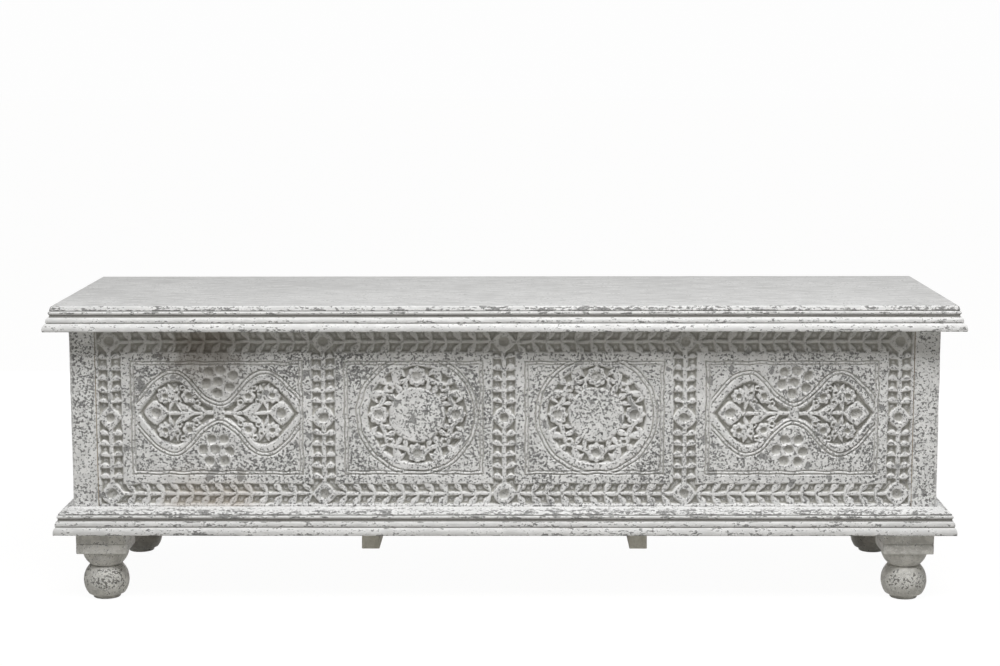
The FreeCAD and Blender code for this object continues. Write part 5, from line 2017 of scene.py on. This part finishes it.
@dataclass
class Mouldings:
    """The mouldings that run round the lid and the base.

    Attributes:
        lower_band: Height of the lower band.
        upper_band: Height of the upper band.
        middle: Height of a band's middle, as a share of its own.
        quirk: Height of the quirk between the bands.
        quirk_depth: Depth of the quirk.
        groove: Height of the groove over the bands.
        groove_depth: How far the groove lies behind the bead.
        bead: Height of the bead over the groove.
    """

    lower_band: float = 12.4
    upper_band: float = 8.2
    middle: float = 0.3
    quirk: float = 1.6
    quirk_depth: float = 1.6
    groove: float = 4.6
    groove_depth: float = 1.7
    bead: float = 4.4

    def bands(self, profile: Profile) -> list[Pair]:
        """Two convex bands with a quirk between them.

        Args:
            profile: The moulding's own sizes.

        Returns:
            Points from the bottom to the top.
        """
        radius, outer, bottom = profile.curve, profile.out, profile.bottom
        foot, head = (radius - math.sqrt(radius**2 - share**2) for share in (self.middle, 1 - self.middle))
        lower, upper = self.lower_band, self.upper_band
        inner = outer - profile.step
        low_end = (outer - lower * head, bottom + lower)
        high_start = (inner - upper * foot, bottom + lower + self.quirk)
        high_end = (inner - upper * head, self.foot(profile))
        points = Section.arc((outer - lower * foot, bottom), low_end, lower * radius)
        points += [low_end, (inner - self.quirk_depth, bottom + lower + self.quirk / 2)]
        return points + Section.arc(high_start, high_end, upper * radius) + [high_end]

    def foot(self, profile: Profile) -> float:
        """Height of the groove's foot."""
        return profile.bottom + (self.lower_band + self.quirk + self.upper_band)

    def bead_points(self, crest: float, low: float) -> list[Pair]:
        """The bead over a groove, with a fine quirk over it.

        Args:
            crest: Reach of the bead.
            low: Height of its foot.

        Returns:
            Points from the bottom to the top.
        """
        start, end = (crest - 0.9, low + 0.1), (crest - 1.1, low + self.bead)
        points = Section.arc(start, end, self.bead * 0.62, 6)
        top = low + self.bead
        return points + [end, (crest - 2.9, top + 0.4), (crest - 2.9, top + 1.2), (crest - 1.8, top + 1.6)]

    def grime_and_shade_spans(self, profile: Profile) -> tuple[Pair, ...]:
        """Heights between which the paint is darkened by dirt and painted shade, in the groove and over the
        bead.

        Args:
            profile: The moulding's own sizes.

        Returns:
            Low and high of each stretch.
        """
        foot = self.foot(profile)
        top = foot + self.groove + self.bead
        return ((foot + 0.3, foot + self.groove - 0.2), (top + 0.2, top + 1.4))

    def lid_section(self) -> Array:
        """Section of the lid's moulding, whose inner edge lies over the end panel.

        Returns:
            A closed fine run.
        """
        inner, floor = -BENCH.end_thickness, LID_PROFILE.crest() - self.groove_depth
        points = [(inner, BENCH.rim)] + self.bands(LID_PROFILE)
        points += [(floor, self.foot(LID_PROFILE)), (floor, BENCH.board), (inner, BENCH.board)]
        return Section(points).fine()

    def base_section(self) -> Array:
        """Section of the base moulding, which lies against the carcass.

        Returns:
            A closed fine run.
        """
        crest, foot = BASE_PROFILE.crest(), self.foot(BASE_PROFILE)
        floor, low = crest - self.groove_depth, foot + self.groove
        reach, drop = BASE_PROFILE.arris
        points = [(0.0, BENCH.base)] + self.bands(BASE_PROFILE) + [(floor, foot), (floor, low)]
        points += self.bead_points(crest, low)
        points += [(reach, BENCH.base_top - drop), (0.0, BENCH.base_top)]
        return Section(points).fine()

    def board_section(self) -> tuple[Array, Array, Array]:
        """Section of the lid boards' edge from bottom to top.

        Returns:
            A fine run, its exposure and its shelter.
        """
        crest, low = LID_PROFILE.crest(), self.foot(LID_PROFILE) + self.groove
        floor = crest - self.groove_depth
        reach, drop = LID_PROFILE.arris
        points = [(floor - 8.0, BENCH.board), (floor, BENCH.board), (floor, low)]
        points += self.bead_points(crest, low)
        points += [(reach, BENCH.seat - drop), (reach - 1.5, BENCH.seat)]
        fine = Section(points + [(LID_PROFILE.out - 20.0, BENCH.seat)], closed=False).fine()
        edge, hollow = Section.exposure(fine, closed=False)
        # The groove and the quirk over the bead are darkened as dirt and painted shade.
        for start, end in self.grime_and_shade_spans(LID_PROFILE):
            hollow[(fine[:, 1] > max(start, BENCH.board + 0.1)) & (fine[:, 1] < end)] = 1.0
        return fine, edge, hollow

    def build(self) -> None:
        """Make the strips of the lid and the base."""
        strips = (
            ("lid", Body.LID, LID_PROFILE, self.lid_section(), BENCH.lid_back, 60),
            ("base", Body.CARCASS, BASE_PROFILE, self.base_section(), BENCH.back, 80),
        )
        for number, run in enumerate(Run):
            paint = (MOULDED.material(Grain.ALONG if run is Run.FRONT else Grain.ACROSS),)
            for kind, body, profile, section, back, seed in strips:
                strip = MitredStrip(run, section, back, profile.rows, self.grime_and_shade_spans(profile))
                shape = strip.shape(seed + number * 3)
                nodes = [f"{kind}_moulding_{run.value}"]
                JOINERY.place(f"{kind}_edge_{run.value}", shape, nodes, body, Slot.PAINT, paint)


@dataclass
class Feet:
    """Four turned feet under square tops.

    Attributes:
        x: Distance of the feet from the middle.
        rows: Name and place of the front and back feet.
        square: Width of the square top.
        square_low: Height of its underside.
        square_high: Height of its top.
        ball: Radius of the ball.
        ball_up: Height of the ball's middle.
        ring: Radius of the ring on the floor.
        ring_high: Height of the ring.
        neck: Radius of the neck.
        neck_up: Height of the neck.
        neck_drop: Depth of the fillet under the neck.
        bowl: Radius of the bowl under the square top.
        bowl_round: Radius of the bowl's section.
        bowl_edge: Height of the bowl's upright edge.
    """

    x: float = 645.0
    rows: tuple[tuple[str, float], ...] = (("front", -156.0), ("back", 159.0))
    square: float = 80.0
    square_low: float = 79.0
    square_high: float = 95.0
    ball: float = 36.5
    ball_up: float = 29.0
    ring: float = 22.0
    ring_high: float = 7.0
    neck: float = 22.5
    neck_up: float = 55.0
    neck_drop: float = 1.5
    bowl: float = 37.0
    bowl_round: float = 34.0
    bowl_edge: float = 4.0

    def section(self) -> Array:
        """Half section of the turning: floor ring, ball, neck and bowl.

        Returns:
            A fine run from the floor to the square top.
        """
        top = self.square_low + 1
        ends = (self.ring_high, self.neck_up - self.neck_drop)
        shoulder, head = ((math.sqrt(self.ball**2 - (up - self.ball_up) ** 2), up) for up in ends)
        rim = (self.bowl, self.square_low - self.bowl_edge)
        points = [(0.0, 0.0), (self.ring - 0.8, 0.0), (self.ring, 1.0), (self.ring, self.ring_high)]
        points += Section.arc(shoulder, head, self.ball, 30)
        points += [head, (self.neck, self.neck_up)]
        points += Section.arc((self.neck + 2.5, self.neck_up + 0.6), rim, self.bowl_round, 16)
        points += [rim, (self.bowl, top), (0.0, top)]
        return Section(points, closed=False).fine(1.5)

    def rubbed(self, places: Array, y: float) -> Array:
        """How worn each place is: most on the middle of the ball's outer face.

        Args:
            places: Vertices of the foot.
            y: Place of its axis.

        Returns:
            One value per vertex.
        """
        facing = (math.copysign(1.0, y) * (places[:, 1] - y) / self.ball).clip(0, 1)
        level = 1 - np.abs(places[:, 2] - self.ball_up - 4.0) / 26.0
        return (1.5 * facing * level.clip(0, 1)).clip(0, 1)

    def build(self) -> None:
        """Turn the feet and give each its square top."""
        paint = (TURNED.material(Grain.ROUND),)
        half = self.square / 2
        for row, y in self.rows:
            for number, (side, hand) in enumerate((("left", -1), ("right", 1))):
                x = self.x * hand
                turned = Lathe(self.section()).shape(x, y, 100 + number)
                turned.worn = self.rubbed(turned.vertices, y)
                low = (x - half, y - half, self.square_low)
                high = (x + half, y + half, self.square_high)
                top = RingSolid.plain(low, high, 12.0, uneven=0.15).shape(110 + number)
                name = f"foot_{row}_{side}"
                JOINERY.place(name, turned.joined(top), [f"feet_{row}"], Body.CARCASS, Slot.PAINT, paint)


@dataclass
class Lid:
    """The lid's boards, back rail and battens.

    Attributes:
        corner: Radius of the boards' upright arrises.
        step: Distance between vertices along a board.
        uneven: Height of the hand-planed waves.
        chip_drop: How far below the seat the arris is most chipped.
        chip_reach: How far the chips go from there.
    """

    corner: float = 0.5
    step: float = 14.0
    uneven: float = 0.12
    chip_drop: float = 4.2
    chip_reach: float = 4.0

    def build(self, mouldings: Mouldings) -> None:
        """Make the boards with their moulded ends, and dress the frame under them.

        Args:
            mouldings: The profiles of the bench.
        """
        run = mouldings.board_section()
        paint = (LID_TOP_SHADE_DIMMED.material(Grain.LONG), MOULDED.material(Grain.ALONG), INSIDE.material(Grain.ALONG))
        for number, name in enumerate(("front", "middle", "back")):
            node = f"lid_board_{name}"
            first = name == "front"
            start, end = (corner[1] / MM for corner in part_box(node))
            low, high = (-BENCH.body_end, BENCH.front if first else start), (BENCH.body_end, end)
            sides = (True, True, first, False)
            shape = RingSolid(low, high, *run, sides, self.corner, self.step, self.uneven).shape(120 + number)
            shape.finish = self.finishes(shape.middles()[:, 2])
            away = np.abs(shape.vertices[:, 2] - BENCH.seat + self.chip_drop) / self.chip_reach
            shape.worn = (1.15 - away).clip(0, 1) * 1.5
            JOINERY.place(f"lid_plank_{name}", shape, [node], Body.LID, Slot.LID, paint)
        JOINERY.dress("lid_rail_back", MOULDED.material(Grain.ALONG))
        for name in ("lid_batten_left", "lid_batten_right"):
            JOINERY.dress(name, INSIDE.material(Grain.ACROSS))

    def finishes(self, heights: Array) -> dict[int, int]:
        """Number of each face's finish: 2 for the bare underside, 1 for the edge, 0 for the top."""
        kinds = np.where(heights < BENCH.board + 0.05, 2, np.where(heights < BENCH.seat - 0.3, 1, 0))
        return dict(enumerate(kinds.tolist()))


@dataclass
class Hinges:
    """Butt hinges at the back, with slotted screws.

    Attributes:
        places: Middles of the hinges along the bench.
        screw_step: Distance between the screws of a leaf.
        screw_y: Row of the outer screws.
        stagger: How far the middle screw lies behind that row.
        radius: Radius of a screw's head.
        slot: Width of its slot.
        core: Heights between which the head lies under its slot.
        crown: Heights between which the slot divides it.
        sunk: How far a head's crown starts below the leaf's face.
    """

    places: Pair = (-480.0, 480.0)
    screw_step: float = 20.0
    screw_y: float = 190.5
    stagger: float = 3.0
    radius: float = 3.3
    slot: float = 0.9
    core: Pair = (-0.9, -0.45)
    crown: Pair = (-0.5, 0.05)
    sunk: float = 0.1

    def prism(self, turns: Array, heights: Pair) -> Shape:
        """A straight-sided solid on a run of points round the head.

        Args:
            turns: Angles of the points.
            heights: Heights of its foot and its top.

        Returns:
            The closed shape.
        """
        count = len(turns)
        ring = self.radius * np.column_stack([np.cos(turns), np.sin(turns)])
        vertices = np.vstack([np.column_stack([ring, np.full(count, height)]) for height in heights])
        faces = quads(2, count) + [tuple(range(count))[::-1], tuple(range(count, 2 * count))]
        return Shape(vertices, faces, np.zeros(2 * count), np.zeros(2 * count))

    def screw(self, up: int) -> Shape:
        """A slotted head about the origin.

        Args:
            up: 1 for a head that faces up, -1 for one that faces down.

        Returns:
            The head's core and the two halves of its crown.
        """
        head = self.prism(np.linspace(0, 2 * math.pi, 36, endpoint=False), self.core)
        start = math.asin(self.slot / 2 / self.radius)
        for turn in (math.pi, 0.0):
            head = head.joined(self.prism(np.linspace(start, math.pi - start, 18) + turn, self.crown))
        head.vertices[:, 2] *= up
        return head

    def build(self) -> None:
        """Dress the hinges and set their screws."""
        steel = HINGE.material()
        for name in ("hinge_leaves_lower", "hinge_leaves_upper", "hinge_pins"):
            JOINERY.dress(name, steel, 0.0)
        for leaf, body, up in (("lower", Body.CARCASS, 1), ("upper", Body.LID, -1)):
            height = BENCH.rim - up * self.sunk
            screws = None
            for place in self.places:
                for step in (-1, 0, 1):
                    head = self.screw(up)
                    y = self.screw_y + self.stagger * (step == 0)
                    head.vertices += (place + step * self.screw_step, y, height)
                    screws = screws.joined(head) if screws else head
            JOINERY.place(f"hinge_screws_{leaf}", screws, [], body, Slot.IRON, (steel,))


@dataclass(frozen=True)
class Lamp:
    """A soft box.

    Attributes:
        name: Its name.
        place: Its place in metres.
        size: Its width and height.
        power: Its power in watts.
        aim: The place that it faces.
    """

    name: str
    place: Triple
    size: Pair
    power: float
    aim: Triple = (0.0, 0.0, 0.25)


@dataclass
class Studio:
    """Pale floor, soft light and the camera of the photograph.

    Attributes:
        lens: Focal length on a 36 mm sensor.
        eye: Place of the camera in metres.
        turn: Its turn to the left, downward tilt and roll, in radians.
        lamps: Soft boxes.
        ambient: Strength of the even light.
        shade: Its colour.
        white: Strength of the background that the camera sees.
        span: Half the floor's width in metres.
        floor: Colour of the floor.
        glow: Strength of the light that the floor shows the camera.
        glow_share: How far that light covers the floor's own shading.
    """

    lens: float = 75.63
    eye: Triple = (0.0268, -3.4712, 0.891)
    turn: Triple = (0.010, 0.138, -0.002)
    lamps: tuple[Lamp, ...] = (
        Lamp("top_box", (0.2, -1.3, 2.5), (3.0, 1.1), 75.0),
        Lamp("back_box", (0.0, 2.2, 0.24), (2.8, 0.4), 16.0),
    )
    ambient: float = 0.15
    shade: Colour = (1.0, 0.975, 0.92)
    white: float = 0.985
    span: float = 30.0
    floor: Colour = (0.45, 0.44, 0.415)
    glow: float = 1.13
    glow_share: float = 0.85

    def build(self) -> None:
        """Set up the floor, the world, the lamps and the camera."""
        self.build_floor()
        self.build_world()
        for lamp in self.lamps:
            self.build_lamp(lamp)
        self.build_camera()
        bpy.context.scene.view_settings.view_transform = "Standard"

    def rays(self, wiring: Wiring) -> tuple[Signal, Signal]:
        """Tell the rays apart that see the studio.

        Args:
            wiring: The tree that asks.

        Returns:
            1 for the camera's rays, and 1 for those and mirrored ones.
        """
        path = wiring.add("ShaderNodeLightPath")
        camera, mirror = (Signal(wiring, path.outputs[f"Is {kind} Ray"]) for kind in ("Camera", "Glossy"))
        return camera, (camera + mirror).clamped()

    def build_floor(self) -> None:
        """A floor that the camera sees as nearly white, with the bench's shadow, and through from below."""
        mesh = bpy.data.meshes.new("floor")
        corners = [(x * self.span, y * self.span, 0.0) for x, y in ((-1, -1), (1, -1), (1, 1), (-1, 1))]
        mesh.from_pydata(corners, [], [(0, 1, 2, 3)])
        floor = bpy.data.objects.new("floor", mesh)
        bpy.context.scene.collection.objects.link(floor)
        material, wiring, shader = principled("pale_floor")
        shader.inputs["Base Color"].default_value = rgba(self.floor)
        shader.inputs["Roughness"].default_value = 0.9
        camera, seen = self.rays(wiring)
        glow = wiring.take("ShaderNodeEmission", {"Strength": self.glow})
        lit = wiring.blend(seen * self.glow_share, Signal(wiring, shader.outputs[0]), glow)
        below = wiring.take("ShaderNodeNewGeometry", output="Backfacing")
        clear = wiring.blend(below * camera, lit, wiring.take("ShaderNodeBsdfTransparent"))
        output = next(node for node in wiring.tree.nodes if node.type == "OUTPUT_MATERIAL")
        wiring.feed(output.inputs["Surface"], clear)
        mesh.materials.append(material)
        floor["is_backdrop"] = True

    def build_world(self) -> None:
        """Even light, with a white background for the camera."""
        world = bpy.data.worlds.new("studio")
        world.use_nodes = True
        world.node_tree.nodes.clear()
        wiring = Wiring(world.node_tree)
        lights = ((self.shade, self.ambient), ((1.0, 1.0, 1.0), self.white))
        inputs = ({"Color": rgba(colour), "Strength": level} for colour, level in lights)
        even, white = (wiring.take("ShaderNodeBackground", values) for values in inputs)
        _, seen = self.rays(wiring)
        wiring.add("ShaderNodeOutputWorld", {"Surface": wiring.blend(seen, even, white)})
        bpy.context.scene.world = world

    def build_lamp(self, lamp: Lamp) -> None:
        """Hang one soft box.

        Args:
            lamp: The box.
        """
        light = bpy.data.lights.new(lamp.name, "AREA")
        light.shape = "RECTANGLE"
        light.size, light.size_y = lamp.size
        light.energy = lamp.power
        box = bpy.data.objects.new(lamp.name, light)
        box.location = lamp.place
        box.rotation_euler = (Vector(lamp.aim) - Vector(lamp.place)).to_track_quat("-Z", "Y").to_euler()
        box.visible_camera = False
        bpy.context.scene.collection.objects.link(box)

    def build_camera(self) -> None:
        """Stand the camera where the photograph was taken."""
        yaw, pitch, roll = self.turn
        spin = Matrix.Rotation(yaw, 3, "Z")
        right = spin @ Vector((1, 0, 0))
        ahead = spin @ Vector((0, math.cos(pitch), -math.sin(pitch)))
        up = right.cross(ahead)
        level = right * math.cos(roll) + up * math.sin(roll)
        upright = up * math.cos(roll) - right * math.sin(roll)
        pose = Matrix((level, upright, -ahead)).transposed().to_4x4()
        pose.translation = self.eye
        data = bpy.data.cameras.new("camera")
        data.lens = self.lens
        data.sensor_width = 36.0
        data.sensor_fit = "HORIZONTAL"
        data.clip_end = 200.0
        camera = bpy.data.objects.new("camera", data)
        camera.matrix_world = pose
        bpy.context.scene.collection.objects.link(camera)
        bpy.context.scene.camera = camera


def main() -> None:
    """Load the frame, build every sub-assembly and set up the studio."""
    logging.basicConfig(level=logging.INFO, format="%(name)s: %(message)s")
    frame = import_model()
    JOINERY.nodes = frame["nodes"]
    packed = tuple(corner.copy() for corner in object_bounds())
    mouldings = Mouldings()
    CarvedFront().build()
    Carcass().build()
    mouldings.build()
    Feet().build()
    Lid().build(mouldings)
    Hinges().build()
    Studio().build()


if __name__ == "__main__":
    main()
